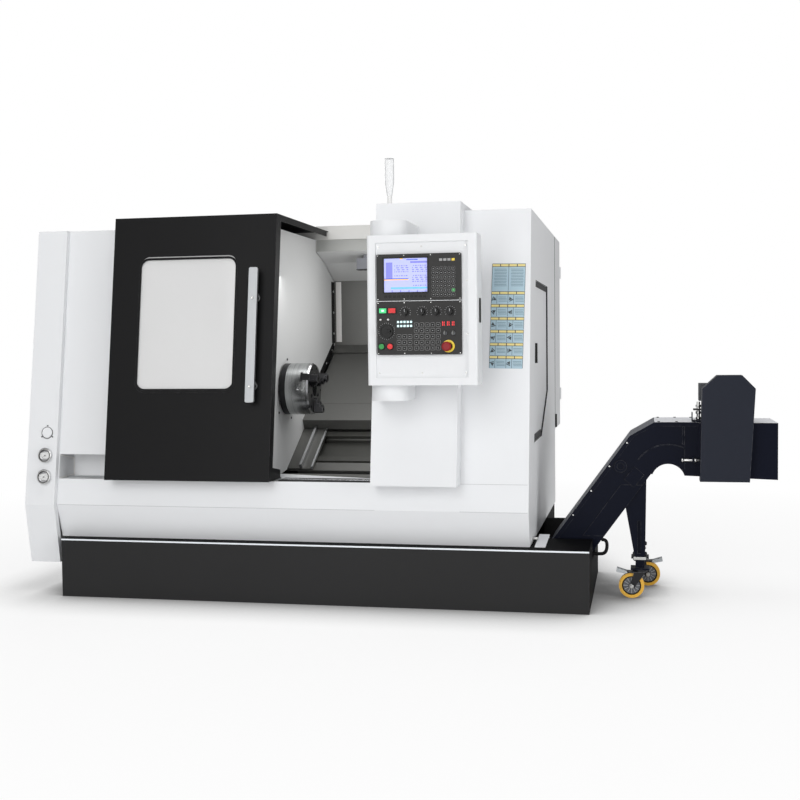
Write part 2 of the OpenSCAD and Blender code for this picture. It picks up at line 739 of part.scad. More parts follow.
module display_unit() place() color("#26282b") on_face() {
  difference() {
    translate([unit_x, disp_y, -pend_in]) linear_extrude(unit_t) round_rect(unit_w, disp_h, 6);
    box(unit_x + 33, unit_x + 220, disp_y + 36, disp_y + 179, unit_top - 3, unit_top + eps);
  }
  for (i = [0 : 5], j = [0 : 6])
    translate([unit_x + 240 + 17 * i, disp_y + 16 + 18.4 * j, unit_top]) cube([13, 13, 1.5]);
  for (i = [0 : 3])
    translate([unit_x + 272 + 17.6 * i, disp_y + 164, unit_top]) cube([13, 10, 1.5]);
  for (i = [0 : 9])
    translate([unit_x + 34 + 18.7 * i, disp_y + 12, unit_top]) cube([14, 11, 1.5]);
}

// Places of the controls from the operator panel's lower left corner
knob_xs = [124, 197, 257, 317];
knob_y = 181;
power_xs = [12, 52];
power_y = 178;
power_size = [30, 20];
wheel_at = [42, 101];
start_at = [20, 36];
stop_at = [57, 36];
estop_at = [303, 34];
button_r = 11.5;
stem_r = 4;
pocket = 10.5;

module operator_panel() place() color("#33363a") on_face() translate([unit_x, oper_y, 0]) {
  difference() {
    translate([0, 0, -pend_in]) linear_extrude(unit_t) round_rect(unit_w, oper_h, 6);
    for (x = knob_xs) translate([x, knob_y, unit_top - pocket]) cylinder(h = pocket + eps, r = stem_r + fit);
    for (p = [start_at, stop_at])
      translate([p[0], p[1], unit_top - pocket]) cylinder(h = pocket + eps, r = button_r + fit);
    for (x = power_xs) translate([x - run, power_y - run, unit_top - pocket])
      cube([power_size[0] + 2 * run, power_size[1] + 2 * run, pocket + eps]);
    translate([wheel_at[0], wheel_at[1], unit_top - pocket]) cylinder(h = pocket + eps, r = stem_r + fit);
    translate([estop_at[0], estop_at[1], unit_top - pocket]) cylinder(h = pocket + eps, r = 9 + fit);
  }
  for (i = [0 : 4], j = [0 : 4])
    translate([163 + 23.6 * i, 20 + 24.5 * j, unit_top]) cube([16, 16, 1.5]);
  for (i = [0 : 2], j = [0 : 2])
    translate([88 + 23.6 * i, 20 + 24.5 * j, unit_top]) cube([16, 16, 1.5]);
  for (i = [0 : 4], j = [0, 1])
    translate([88 + 14 * i, 118 + 17 * j, unit_top]) cube([9, 9, 1.5]);
  box(280, 346, 120, 140, unit_top, unit_top + 2);
  for (x = [295, 330]) translate([x, 90, unit_top]) cylinder(h = 7, r = 8);
}

// A round plunger in a pocket of the operator panel
module plunger(at, tint) {
  place() color(tint) on_face() translate([unit_x + at[0], oper_y + at[1], unit_top - 6])
    cylinder(h = 13, r = button_r);
}

// An oblong lit plunger beside the knobs
module power_plunger(x, tint) {
  place() color(tint) on_face() translate([unit_x + x, oper_y + power_y, unit_top - 6])
    cube([power_size[0], power_size[1], 13]);
}

module start_button() plunger(start_at, "#2f9a4a");
module stop_button() plunger(stop_at, "#c0322b");
module power_on_button() power_plunger(power_xs[0], "#3fc75a");
module power_off_button() power_plunger(power_xs[1], "#b5302a");

module estop() place() color("#c5241e")
  on_face() translate([unit_x + estop_at[0], oper_y + estop_at[1], unit_top - 6]) {
    cylinder(h = 20, r = 9);
    translate([0, 0, 18]) cylinder(h = 6, r1 = 17, r2 = 20);
    translate([0, 0, 24]) cylinder(h = 6, r = 20);
    translate([0, 0, 30]) cylinder(h = 3, r1 = 20, r2 = 14);
  }

module knob(i) {
  place() color("#1b1c1e") on_face() translate([unit_x + knob_xs[i], oper_y + knob_y, unit_top]) {
    translate([0, 0, run - pocket + 1]) cylinder(h = pocket, r = stem_r);
    translate([0, 0, run]) cylinder(h = 5, r = 16);
    translate([0, 0, run + 5]) cylinder(h = 14, r1 = 12, r2 = 11);
    translate([-3, -13, run + 5]) cube([6, 26, 15]);
  }
}

module mode_knob() knob(0);
module feed_knob() knob(1);
module rapid_knob() knob(2);
module speed_knob() knob(3);

module handwheel() place() color("#222326")
  on_face() translate([unit_x + wheel_at[0], oper_y + wheel_at[1], unit_top]) {
    translate([0, 0, run - pocket + 1]) cylinder(h = pocket, r = stem_r);
    difference() {
      translate([0, 0, run]) cylinder(h = 12, r = 29);
      translate([0, 0, run + 8]) difference() {
        cylinder(h = 10, r = 23);
        translate([0, 0, -eps]) cylinder(h = 20, r = 9);
      }
    }
    translate([15, 0, run + 7]) cylinder(h = 18, r = 5);
  }

// Carriage, turret and tailstock

module saddle() place() color("#7d8388") on_bed() {
  x1 = saddle_x + saddle_l;
  n0 = rail_top + 4;
  box(saddle_x, x1, saddle_s0, saddle_s1, n0, saddle_n);
  for (s = rails_s, x = [saddle_x + 8, x1 - 98])
    difference() {
      box(x, x + 90, s - 50, s + 50, bed_n + 8, n0);
      box(x - eps, x + 90 + eps, s - rail_w / 2 - run, s + rail_w / 2 + run, bed_n, rail_top + run);
    }
  difference() {
    box(saddle_x + 110, x1 - 110, screw_s - 36, screw_s + 36, bed_n + 1, n0);
    translate([0, screw_s, screw_n]) x_cyl(saddle_x, x1, screw_d / 2 + fit);
  }
  for (x = [saddle_x + 40, x1 - 70])
    box(x, x + 30, saddle_s0, saddle_s1, saddle_n, saddle_n + slide_rail_h);
  box(saddle_x + 110, saddle_x + 230, saddle_s1 - 60, saddle_s1, saddle_n, saddle_n + 90);
}

module way_cover() place() color("#565a5f") on_bed()
  box(wall_x + 12, saddle_x, saddle_s0 + 6, bed_s1 + 26, cover_n - 8, cover_n - 5);

module cross_slide() place() color("#8b9095") on_bed() {
  x0 = saddle_x + 20;
  x1 = saddle_x + saddle_l - 20;
  difference() {
    box(x0, x1, saddle_s0, saddle_s1 - 90, saddle_n + run, slide_n1);
    for (x = [saddle_x + 40, saddle_x + saddle_l - 70])
      box(x - run, x + 30 + run, saddle_s0 - eps, saddle_s1, saddle_n, slide_n0);
  }
  difference() {
    union() {
      translate([0, turret_s, 0]) x_cyl(x0 + 5, x1 - 10, 125);
      box(x0 + 5, x1 - 10, turret_s - 100, turret_s + 140, slide_n1, 0);
    }
    translate([0, turret_s, 0]) x_cyl(x0, x0 + 62, 50 + fit);
  }
}

// A tool shank from inside the disc out to a radius
module shank(r) {
  box(turret_x0 + 14, turret_x0 + 14 + pocket_w, turret_d / 2 - 50, r, -pocket_w / 2, pocket_w / 2);
}

module turret_disc() place() color("#a3a8ad") on_bed() translate([0, turret_s, 0]) {
  x1 = turret_x0 + turret_t;
  difference() {
    union() {
      translate([turret_x0, 0, 0]) rotate([0, 90, 0]) cylinder(h = turret_t, r = turret_d / 2, $fn = 12);
      x_cyl(turret_x0 - 14, turret_x0, 80);
    }
    for (i = [0 : 11])
      rotate([30 * i + 15, 0, 0])
        shank(turret_d);
  }
  x_cyl(x1, x1 + 60, 50);
  for (i = [0 : 11])
    rotate([30 * i + 15, 0, 0]) difference() {
      box(turret_x0 - 9, turret_x0 + eps, 98, 148, -17, 17);
      translate([0, 123, 0]) x_cyl(turret_x0 - 10, turret_x0 - 4, 7);
    }
  for (i = [0, 2, 4, 6, 8, 10])
    rotate([30 * i + 15, 0, 0])
      shank(tool_r);
}

module tailstock() place() color("#7d8388") on_bed() {
  x1 = tail_x + tail_l;
  n0 = rail_top + 4;
  difference() {
    union() {
      x_cyl(tail_x, x1, 76);
      box(tail_x, x1, -76, 76, -300, 0);
      translate([tail_x, 0, 0]) rotate([90, 0, 90]) linear_extrude(tail_l)
        polygon([[-140, n0], [160, n0], [160, -330], [76, -290], [-76, -290], [-140, -330]]);
    }
    x_cyl(tail_x - eps, x1 - 20, quill_d / 2 + fit);
  }
  for (s = tail_s)
    difference() {
      box(tail_x, x1, s - 34, s + 34, bed_n + 8, n0);
      box(tail_x - eps, x1 + eps, s - rail_w / 2 - run, s + rail_w / 2 + run, bed_n, rail_top + run);
    }
}

module quill() place() color("#c4c8cc") on_bed() {
  x_cyl(tail_x - 16, tail_x + tail_l - 30, quill_d / 2);
  x_cyl(tail_x - 34, tail_x - 16, 30);
  translate([tail_x - 70, 0, 0]) rotate([0, 90, 0]) cylinder(h = 36, r1 = 1.5, r2 = 22);
}

// Chip conveyor

conv_low_at = [base_l - 3, 212];
conv_up_at = [base_l - 218, 218];
run_z = 40;
run_x0 = 320;
arch_at = [base_l + 343, 553];
arch_r = 76;
chamfer_z = 757;
chamfer_x = base_l + 281;
head_x = base_l + 475;
split_x = base_l + 416;
rib_r = 165;

// Lower and upper lines of the rising run at a height, drawn in by g
function low_x(z, g) = conv_low_at[0] + (z - conv_low_at[1]) / tan(conv_a) - g / sin(conv_a);
function low_z(x) = conv_low_at[1] + (x - conv_low_at[0]) * tan(conv_a);
function up_x(z, g) = conv_low_at[0] - conv_dep / sin(conv_a) + (z - conv_low_at[1]) / tan(conv_a)
  + g / sin(conv_a);

module conv_outline() {
  difference() {
    polygon([[run_x0, run_z], [low_x(run_z, 0), run_z], [low_x(conv_low, 0), conv_low],
      [conv_end, conv_low - 20], [conv_end, conv_top], [chamfer_x, conv_top],
      [up_x(chamfer_z, 0), chamfer_z], [up_x(conv_up_at[1], 0), conv_up_at[1]], [run_x0, conv_up_at[1]]]);
    translate(arch_at) circle(arch_r);
  }
}

module conv_inside() {
  g = conv_t;
  difference() {
    polygon([[run_x0 + g, run_z + g], [low_x(run_z + g, g), run_z + g],
      [low_x(conv_low + g, g), conv_low + g], [shaft_x - 60, conv_low + g],
      [shaft_x - 60, conv_low - 60], [conv_end - g, conv_low - 60],
      [conv_end - g, conv_top - g], [head_x, conv_top - g], [head_x, conv_top + 40],
      [chamfer_x, conv_top + 40], [up_x(chamfer_z, -40), chamfer_z],
      [up_x(conv_up_at[1], -40), conv_up_at[1] + 20],
      [run_x0 + g, conv_up_at[1] + 20]]);
    translate(arch_at) circle(arch_r + g);
  }
}

module leg(y) {
  difference() {
    along_y(y - 20, y + 20) polygon([[leg_x - 65, low_z(leg_x - 65) + conv_t / 2],
      [leg_x + 30, low_z(leg_x + 30) + conv_t / 2], [leg_x + 24, 195], [leg_x - 24, 195]]);
    for (k = [-1, 1]) box(leg_x - 11, leg_x + 5, y + k * 20 - 10, y + k * 20 + 10, 210, 362);
  }
  box(leg_x - 20, leg_x + 20, y - 20, y + 20, caster_z + 8, 196);
  box(leg_x - 42, leg_x + 42, y - 42, y + 42, caster_z, caster_z + 8);
}

// Joint plate, boss, band and curved rib on a side plate's outer face
module side_dressing() {
  along_y(conv_y - 3, conv_y) {
    polygon([[low_x(290, 80), 290], [low_x(530, 80), 530], [low_x(530, 0), 530], [low_x(290, 0), 290]]);
    intersection() {
      translate(arch_at) difference() {
        circle(rib_r + 2);
        circle(rib_r - 2);
      }
      polygon([arch_at, arch_at + [-300, 210], arch_at + [-300, 300], [split_x - 2, arch_at[1] + 300],
        [split_x - 2, arch_at[1]]]);
    }
    translate([split_x - 10, 720]) square([8, 80]);
  }
  along_y(conv_y - 5, conv_y)
    polygon([[base_l + 145, 557], [base_l + 192, 614], [base_l + 235, 578], [base_l + 188, 518]]);
  difference() {
    translate([base_l + 128, 0, 616]) y_cyl(conv_y - 9, conv_y, 28);
    translate([base_l + 128, 0, 616]) y_cyl(conv_y - 10, conv_y - 4, 16);
  }
}

module conveyor_trough() place() color("#1a1d28") {
  y1 = conv_y + conv_w;
  difference() {
    along_y(conv_y, y1) conv_outline();
    along_y(conv_y + conv_t, y1 - conv_t) conv_inside();
    box(split_x, conv_end + eps, conv_y - eps, y1 + eps, 0, conv_top + eps);
  }
  side_dressing();
  for (x = [500, 1100, 1700]) box(x, x + 60, conv_y + 40, y1 - 40, base_floor, run_z);
  for (y = leg_ys) leg(y);
  box(leg_x - 14, leg_x + 14, leg_ys[0], leg_ys[1], 220, 260);
}

module conveyor_head() place() color("#1a1d28") {
  y1 = conv_y + conv_w;
  difference() {
    along_y(conv_y, y1) conv_outline();
    along_y(conv_y + conv_t, y1 - conv_t) conv_inside();
    box(0, split_x, conv_y - eps, y1 + eps, 0, conv_top + eps);
    translate([shaft_x, 0, shaft_z]) y_cyl(conv_y - eps, y1 + eps, shaft_r + fit);
  }
}

module lid_band(g0, g1) {
  polygon([[up_x(250, -g0), 250], [up_x(chamfer_z, -g0), chamfer_z], [chamfer_x, conv_top + g0],
    [head_x, conv_top + g0], [head_x, conv_top + g1], [chamfer_x, conv_top + g1],
    [up_x(chamfer_z, -g1), chamfer_z], [up_x(250, -g1), 250]]);
}

module conveyor_lid() place() color("#20242f") {
  y1 = conv_y + conv_w;
  along_y(conv_y - 3, y1 + 3) lid_band(0, 3);
  for (y = [conv_y - 3, y1]) along_y(y, y + 3) lid_band(-16, 0.5);
}

module belt_loop(g) {
  low = 22 + g;
  up = 29 + g;
  r = 69 - g;
  tail_r = (conv_up_at[1] - run_z - 51) / 2 - g;
  translate([shaft_x, shaft_z]) circle(r);
  translate([run_x0 + 100, run_z + low + tail_r]) circle(tail_r);
  polygon([[run_x0 + 100, run_z + low], [low_x(run_z + low, low), run_z + low],
    [low_x(shaft_z - r, low), shaft_z - r], [shaft_x, shaft_z - r], [shaft_x, shaft_z + r],
    [chamfer_x + 8, shaft_z + r], [up_x(chamfer_z - 30, up), chamfer_z - 30],
    [up_x(conv_up_at[1] - up, up), conv_up_at[1] - up], [run_x0 + 100, conv_up_at[1] - up]]);
}

module conveyor_belt() place() color("#6d7278")
  along_y(conv_y + 18, conv_y + conv_w - 18) difference() {
    belt_loop(0);
    belt_loop(6);
  }

module drive_shaft() place() color("#9aa0a5") translate([shaft_x, 0, shaft_z]) {
  y_cyl(conv_y - guard_d + 14, conv_y + conv_w + 12, shaft_r);
  for (y = [conv_y + 30, conv_y + conv_w - 44]) y_cyl(y, y + 14, 62.5);
  y_cyl(conv_y - 50, conv_y - 38, 60);
}

module guard_outline(g) {
  translate([shaft_x, shaft_z]) polygon([[g - 124, g - 163], [92 - g, g - 163], [116 - g, 256 - 0.4 * g],
    [58 - 0.4 * g, 316 - g], [0.4 * g - 50, 316 - g], [g - 115, 256 - 0.4 * g]]);
}

module chain_guard() place() color("#1d202a") difference() {
  along_y(conv_y - guard_d, conv_y) guard_outline(0);
  along_y(conv_y - guard_d + 3, conv_y - 3) guard_outline(3);
  translate([shaft_x, 0, shaft_z]) y_cyl(conv_y - 10, conv_y + eps, shaft_r + 4);
  translate([shaft_x, 0, motor_shaft_z]) y_cyl(conv_y - 10, conv_y + eps, 18);
}

module conveyor_motor() place() color("#3b3f47") {
  box(shaft_x - 100, shaft_x + 95, conv_y + 5, conv_y + conv_w - 5, conv_top, conv_top + 12);
  box(shaft_x - 60, shaft_x + 60, conv_y + 10, conv_y + 130, conv_top + 12, motor_shaft_z + 70);
  translate([shaft_x, 0, motor_shaft_z]) {
    y_cyl(conv_y + 130, conv_y + 340, 62);
    y_cyl(conv_y - 56, conv_y + 10, 14);
    y_cyl(conv_y - 50, conv_y - 38, 42);
  }
  box(shaft_x - 118, shaft_x - 58, conv_y + 170, conv_y + 260, motor_shaft_z + 10, motor_shaft_z + 92);
}

module caster_fork(y, dir) {
  place() color("#17181a") translate([leg_x, y, 0]) {
    top = caster_z - run;
    translate([0, 0, top - 12]) cylinder(h = 12, r = 34);
    for (k = [-1, 1])
      along_y(k * (wheel_w / 2 + 4) - 2, k * (wheel_w / 2 + 4) + 2)
        polygon([[-26, top - 11], [26, top - 11], [dir * trail + 12, wheel_d / 2 - 12],
          [dir * trail - 12, wheel_d / 2 - 12]]);
    box(-30, 30, -wheel_w / 2 - 7, wheel_w / 2 + 7, top - 14, top - 10);
    translate([dir * trail, 0, wheel_d / 2]) y_cyl(-wheel_w / 2 - 12, wheel_w / 2 + 12, 6);
    along_y(-20, 20) polygon([[dir * 20, top - 13], [dir * 60, top - 10], [dir * 104, top + 4],
      [dir * 108, top - 14], [dir * 70, top - 22], [dir * 56, top - 18.4], [dir * 20, top - 18.4]]);
  }
}

module caster_wheel(y, dir) {
  place() color("#e0b040") translate([leg_x + dir * trail, y, wheel_d / 2]) difference() {
    union() {
      y_cyl(-wheel_w / 2 + 2, wheel_w / 2 - 2, wheel_d / 2);
      y_cyl(-wheel_w / 2, wheel_w / 2, wheel_d / 2 - 6);
    }
    y_cyl(-wheel_w, wheel_w, 6 + fit);
    for (k = [-1, 1]) translate([0, k * wheel_w / 2, 0]) difference() {
      y_cyl(-5, 5, wheel_d / 2 - 14);
      y_cyl(-6, 6, 14);
    }
  }
}

module caster_fork_near() caster_fork(leg_ys[0], -1);
module caster_fork_far() caster_fork(leg_ys[1], 1);
module caster_wheel_near() caster_wheel(leg_ys[0], -1);
module caster_wheel_far() caster_wheel(leg_ys[1], 1);

// Electrical cabinet

module cabinet() place() color("#e1e2e4") {
  y1 = cab_y + cab_d;
  difference() {
    box(cab_x, x_right, cab_y, y1, cab_z, right_top);
    box(cab_x + sheet, x_right - sheet, cab_y + sheet, y1 + eps, cab_z + sheet, right_top - sheet);
    translate([cab_x + 120, cab_y + 120, cab_z - eps]) cylinder(h = sheet + 2 * eps, r = 20);
  }
  for (x = [cab_x + 60, x_right - 160]) box(x, x + 100, body_back, cab_y, cab_z + 100, right_top - 100);
  for (z = [cab_z + 150, right_top - 220]) {
    translate([x_right + hinge_r, y1 + cab_door_t + hinge_r, z]) cylinder(h = 70, r = hinge_r);
    box(x_right - 1, x_right + 2, y1 - 40, y1, z, z + 70);
    box(x_right + 1, x_right + 3, y1 - 10, y1 + cab_door_t + hinge_r, z, z + 70);
  }
}

module cabinet_door() place() color("#e1e2e4") {
  y0 = cab_y + cab_d + run;
  difference() {
    box(cab_x, x_right - run, y0, y0 + cab_door_t, cab_z, right_top);
    for (i = [0 : 7])
      translate([cab_x + 300, y0 - eps, cab_z + 120 + 26 * i])
        cube([cab_w - 600, cab_door_t + 2 * eps, 12]);
  }
}

base_tank();
bed();
headstock();
spindle_bearings();
spindle_motor();
motor_pulley();
drive_belt();
left_cover();
right_cover();
apron();
roof_cover();
end_walls();
back_guard();
pillar();
work_lamp();
signal_light();
gauges();
cabinet();
way_rails();
z_screw();
conveyor_trough();
conveyor_head();
conveyor_lid();
conveyor_belt();
chain_guard();
conveyor_motor();
door_shell();
door_window();
door_handle();
pendant_case();
display_unit();
operator_panel();
estop();
start_button();
stop_button();
power_on_button();
power_off_button();
mode_knob();
feed_knob();
rapid_knob();
speed_knob();
handwheel();
spindle();
chuck();
jaw_1();
jaw_2();
jaw_3();
saddle();
way_cover();
cross_slide();
turret_disc();
tailstock();
quill();
side_hatch();
cabinet_door();
drive_shaft();
caster_fork_near();
caster_fork_far();
caster_wheel_near();
caster_wheel_far();
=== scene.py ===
"""Looks of an enclosed slant-bed turning lathe with its chip conveyor."""

import logging
import math
from dataclasses import dataclass, field
from enum import Enum
from typing import Callable, Iterable, Optional, Sequence

import bpy
from mathutils import Matrix, Vector


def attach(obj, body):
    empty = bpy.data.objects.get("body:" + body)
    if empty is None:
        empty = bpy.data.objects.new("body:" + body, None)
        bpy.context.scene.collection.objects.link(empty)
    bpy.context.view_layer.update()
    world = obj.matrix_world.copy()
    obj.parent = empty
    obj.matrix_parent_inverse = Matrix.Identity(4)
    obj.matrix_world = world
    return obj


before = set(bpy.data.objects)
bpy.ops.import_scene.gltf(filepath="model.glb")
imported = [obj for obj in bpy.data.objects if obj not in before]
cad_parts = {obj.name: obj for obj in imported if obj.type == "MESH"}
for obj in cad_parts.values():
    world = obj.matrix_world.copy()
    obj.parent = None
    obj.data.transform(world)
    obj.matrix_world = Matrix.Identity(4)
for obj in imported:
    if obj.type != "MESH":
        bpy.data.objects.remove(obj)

log = logging.getLogger("lathe")
Color = tuple[float, float, float]
Rule = Callable[[Vector, Vector], int]

MM = 0.001
HALF_L = 1250.0
HALF_D = 780.0
SLOPE = math.radians(8.5)
BEND_Y = 30.0
BEND_Z = 437.0
SLANT = math.radians(30.0)
AXIS_Y = 470.0
AXIS_Z = 975.0
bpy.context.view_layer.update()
ROUGH_SWING = 0.06
DUST: Color = (0.42, 0.40, 0.37)


def front_y(z: float) -> float:
    """Depth of the leaning front at a height, in millimetres from the base's front."""
    return BEND_Y + (z - BEND_Z) * math.tan(SLOPE)


def place(x: float, y: float, z: float) -> Vector:
    """A point of the machine's own measures, in the frame's metres.

    Args:
        x: millimetres from the base's left end.
        y: millimetres behind the base's front.
        z: millimetres above the floor.

    Returns:
        The point in metres.
    """
    return Vector(((x - HALF_L) * MM, (y - HALF_D) * MM, z * MM))


def machine_mm(p: Vector) -> Vector:
    """A frame point back in the machine's own millimetres."""
    return Vector((p.x / MM + HALF_L, p.y / MM + HALF_D, p.z / MM))


def axes(origin: Vector, right: Vector, up: Vector) -> Matrix:
    """A placing matrix whose first axis is right, second is up and third is out."""
    r = right.normalized()
    out = r.cross(up).normalized()
    u = out.cross(r)
    m = Matrix((r, u, out)).transposed().to_4x4()
    m.translation = origin
    return m


def on_front(x: float, z: float, out: float = 0.0) -> Matrix:
    """A place on the leaning front, out being millimetres proud of it, level with the floor."""
    up = Vector((0, math.sin(SLOPE), math.cos(SLOPE)))
    return axes(place(x, front_y(z) - out, z), Vector((1, 0, 0)), up)


def on_side(y: float, z: float, x: float = 2234.0) -> Matrix:
    """A place on the right side, facing +X."""
    return axes(place(x, y, z), Vector((0, 1, 0)), Vector((0, 0, 1)))


def on_back(x: float, z: float, y: float) -> Matrix:
    """A place on a rear face, facing +Y."""
    return axes(place(x, y, z), Vector((-1, 0, 0)), Vector((0, 0, 1)))


def on_near(x: float, z: float, y: float) -> Matrix:
    """A place on an upright face that looks to the operator."""
    return axes(place(x, y, z), Vector((1, 0, 0)), Vector((0, 0, 1)))


def on_top(x: float, y: float, z: float) -> Matrix:
    """A place on a level top."""
    return axes(place(x, y, z), Vector((1, 0, 0)), Vector((0, 1, 0)))


def on_bed(x: float, s: float, n: float) -> Matrix:
    """A place on the slant: s up the slant and n square to it, from the spindle axis."""
    c, k = math.cos(SLANT), math.sin(SLANT)
    return axes(place(x, AXIS_Y + s * c - n * k, AXIS_Z + s * k + n * c),
                Vector((1, 0, 0)), Vector((0, c, k)))


def square_to_bed(y: float, z: float) -> float:
    """The part of a direction that stands square to the slant."""
    return z * math.cos(SLANT) - y * math.sin(SLANT)


def turn(angle: float) -> Matrix:
    """A turn about a place's outward axis, in degrees."""
    return Matrix.Rotation(math.radians(angle), 4, "Z")


def shift(x: float, y: float, z: float = 0.0) -> Matrix:
    """A shift along a place's own axes, in metres."""
    return Matrix.Translation((x, y, z))


# Shared surface effects


class Grain(Enum):
    """Fine relief of a surface."""

    PEEL = "powder coat"
    CAST = "casting"
    MOULD = "moulded"
    BRUSH_X = "brushed along X"
    BRUSH_Z = "brushed along Z"
    TURNED = "turned about X"


STRETCH: dict[Grain, tuple[float, float, float]] = {
    Grain.PEEL: (1.0, 1.0, 1.0),
    Grain.CAST: (1.0, 1.0, 1.0),
    Grain.MOULD: (1.0, 1.0, 1.0),
    Grain.BRUSH_X: (0.02, 1.0, 1.0),
    Grain.BRUSH_Z: (1.0, 1.0, 0.02),
    Grain.TURNED: (1.0, 0.03, 0.03),
}


def new_group(name: str, inputs: Sequence[tuple[str, float]],
              outputs: Sequence[str]) -> bpy.types.NodeTree:
    """An empty shader node group with value sockets.

    Args:
        name: the group's name.
        inputs: names and starting values of its inputs.
        outputs: names of its outputs.

    Returns:
        The group, with its input and output nodes in place.
    """
    tree = bpy.data.node_groups.new(name, "ShaderNodeTree")
    for label, value in inputs:
        socket = tree.interface.new_socket(name=label, in_out="INPUT", socket_type="NodeSocketFloat")
        socket.default_value = value
    for label in outputs:
        tree.interface.new_socket(name=label, in_out="OUTPUT", socket_type="NodeSocketFloat")
    tree.nodes.new("NodeGroupInput")
    tree.nodes.new("NodeGroupOutput")
    return tree


def math_node(tree: bpy.types.NodeTree, kind: str, a: object, b: object) -> bpy.types.NodeSocket:
    """A math node fed by sockets or plain numbers.

    Args:
        tree: the tree that gets the node.
        kind: the operation.
        a: first socket or number.
        b: second socket or number.

    Returns:
        The node's output socket.
    """
    node = tree.nodes.new("ShaderNodeMath")
    node.operation = kind
    for socket, value in zip(node.inputs, (a, b)):
        if isinstance(value, bpy.types.NodeSocket):
            tree.links.new(value, socket)
        else:
            socket.default_value = value
    return node.outputs[0]


def noise_node(tree: bpy.types.NodeTree, vector: bpy.types.NodeSocket, scale: object,
               detail: float = 3.0) -> bpy.types.NodeSocket:
    """A noise pattern read at a vector.

    Args:
        tree: the tree that gets the node.
        vector: the place it is read at.
        scale: socket or number for the repeats per metre.
        detail: octaves.

    Returns:
        The noise's value socket.
    """
    node = tree.nodes.new("ShaderNodeTexNoise")
    node.inputs["Detail"].default_value = detail
    tree.links.new(vector, node.inputs["Vector"])
    if isinstance(scale, bpy.types.NodeSocket):
        tree.links.new(scale, node.inputs["Scale"])
    else:
        node.inputs["Scale"].default_value = scale
    return node.outputs["Fac"]


def range_node(tree: bpy.types.NodeTree, value: bpy.types.NodeSocket, low: float, high: float,
               to_low: float = 0.0, to_high: float = 1.0) -> bpy.types.NodeSocket:
    """Maps a value from one range to another, held at the ends.

    Args:
        tree: the tree that gets the node.
        value: the value to map.
        low: start of the range.
        high: end of the range.
        to_low: result at the start.
        to_high: result at the end.

    Returns:
        The mapped value's socket.
    """
    node = tree.nodes.new("ShaderNodeMapRange")
    tree.links.new(value, node.inputs["Value"])
    for label, number in (("From Min", low), ("From Max", high), ("To Min", to_low), ("To Max", to_high)):
        node.inputs[label].default_value = number
    return node.outputs["Result"]


def grain_group(grain: Grain) -> bpy.types.NodeTree:
    """Fine relief and slow tone change of one kind of surface, built once.

    Args:
        grain: the kind of surface.

    Returns:
        The group, with Height and Tone outputs.
    """
    name = "grain " + grain.value
    if name in bpy.data.node_groups:
        return bpy.data.node_groups[name]
    tree = new_group(name, [("Scale", 600.0)], ["Height", "Tone"])
    source, sink = tree.nodes[0], tree.nodes[1]
    coord = tree.nodes.new("ShaderNodeTexCoord")
    mapping = tree.nodes.new("ShaderNodeMapping")
    mapping.inputs["Scale"].default_value = STRETCH[grain]
    tree.links.new(coord.outputs["Object"], mapping.inputs["Vector"])
    fine = noise_node(tree, mapping.outputs[0], source.outputs["Scale"], 4.0)
    slow = noise_node(tree, coord.outputs["Object"], 2.3, 2.0)
    height = fine
    if grain is Grain.CAST:
        coarse = noise_node(tree, mapping.outputs[0], 60.0, 3.0)
        height = math_node(tree, "ADD", math_node(tree, "MULTIPLY", coarse, 0.6),
                           math_node(tree, "MULTIPLY", fine, 0.4))
    share = 0.75 if grain in (Grain.BRUSH_X, Grain.BRUSH_Z, Grain.TURNED) else 0.3
    tone = math_node(tree, "ADD", math_node(tree, "MULTIPLY", fine, share),
                     math_node(tree, "MULTIPLY", slow, 1.0 - share))
    tree.links.new(height, sink.inputs["Height"])
    tree.links.new(tone, sink.inputs["Tone"])
    return tree


def wear_and_highlight_group() -> bpy.types.NodeTree:
    """Mask of rubbed edges, built once; on dark finishes it also draws light edge lines as painted highlight.
    """
    name = "edge wear"
    if name in bpy.data.node_groups:
        return bpy.data.node_groups[name]
    tree = new_group(name, [("Amount", 0.5)], ["Mask"])
    source, sink = tree.nodes[0], tree.nodes[1]
    bevel = tree.nodes.new("ShaderNodeBevel")
    bevel.samples = 4
    bevel.inputs["Radius"].default_value = 0.003
    geometry = tree.nodes.new("ShaderNodeNewGeometry")
    dot = tree.nodes.new("ShaderNodeVectorMath")
    dot.operation = "DOT_PRODUCT"
    tree.links.new(bevel.outputs[0], dot.inputs[0])
    tree.links.new(geometry.outputs["Normal"], dot.inputs[1])
    edge = range_node(tree, dot.outputs["Value"], 0.995, 0.86)
    coord = tree.nodes.new("ShaderNodeTexCoord")
    patch = range_node(tree, noise_node(tree, coord.outputs["Object"], 38.0, 5.0), 0.35, 0.7)
    mask = math_node(tree, "MULTIPLY", math_node(tree, "MULTIPLY", edge, patch), source.outputs["Amount"])
    tree.links.new(mask, sink.inputs["Mask"])
    return tree


def dust_group() -> bpy.types.NodeTree:
    """Mask of dust lying on what faces up, built once."""
    name = "settled dust"
    if name in bpy.data.node_groups:
        return bpy.data.node_groups[name]
    tree = new_group(name, [("Amount", 0.3)], ["Mask"])
    source, sink = tree.nodes[0], tree.nodes[1]
    geometry = tree.nodes.new("ShaderNodeNewGeometry")
    split = tree.nodes.new("ShaderNodeSeparateXYZ")
    tree.links.new(geometry.outputs["Normal"], split.inputs[0])
    up = range_node(tree, split.outputs["Z"], 0.3, 1.0)
    coord = tree.nodes.new("ShaderNodeTexCoord")
    patch = range_node(tree, noise_node(tree, coord.outputs["Object"], 9.0, 6.0), 0.3, 0.75)
    mask = math_node(tree, "MULTIPLY", math_node(tree, "MULTIPLY", up, patch), source.outputs["Amount"])
    tree.links.new(mask, sink.inputs["Mask"])
    return tree


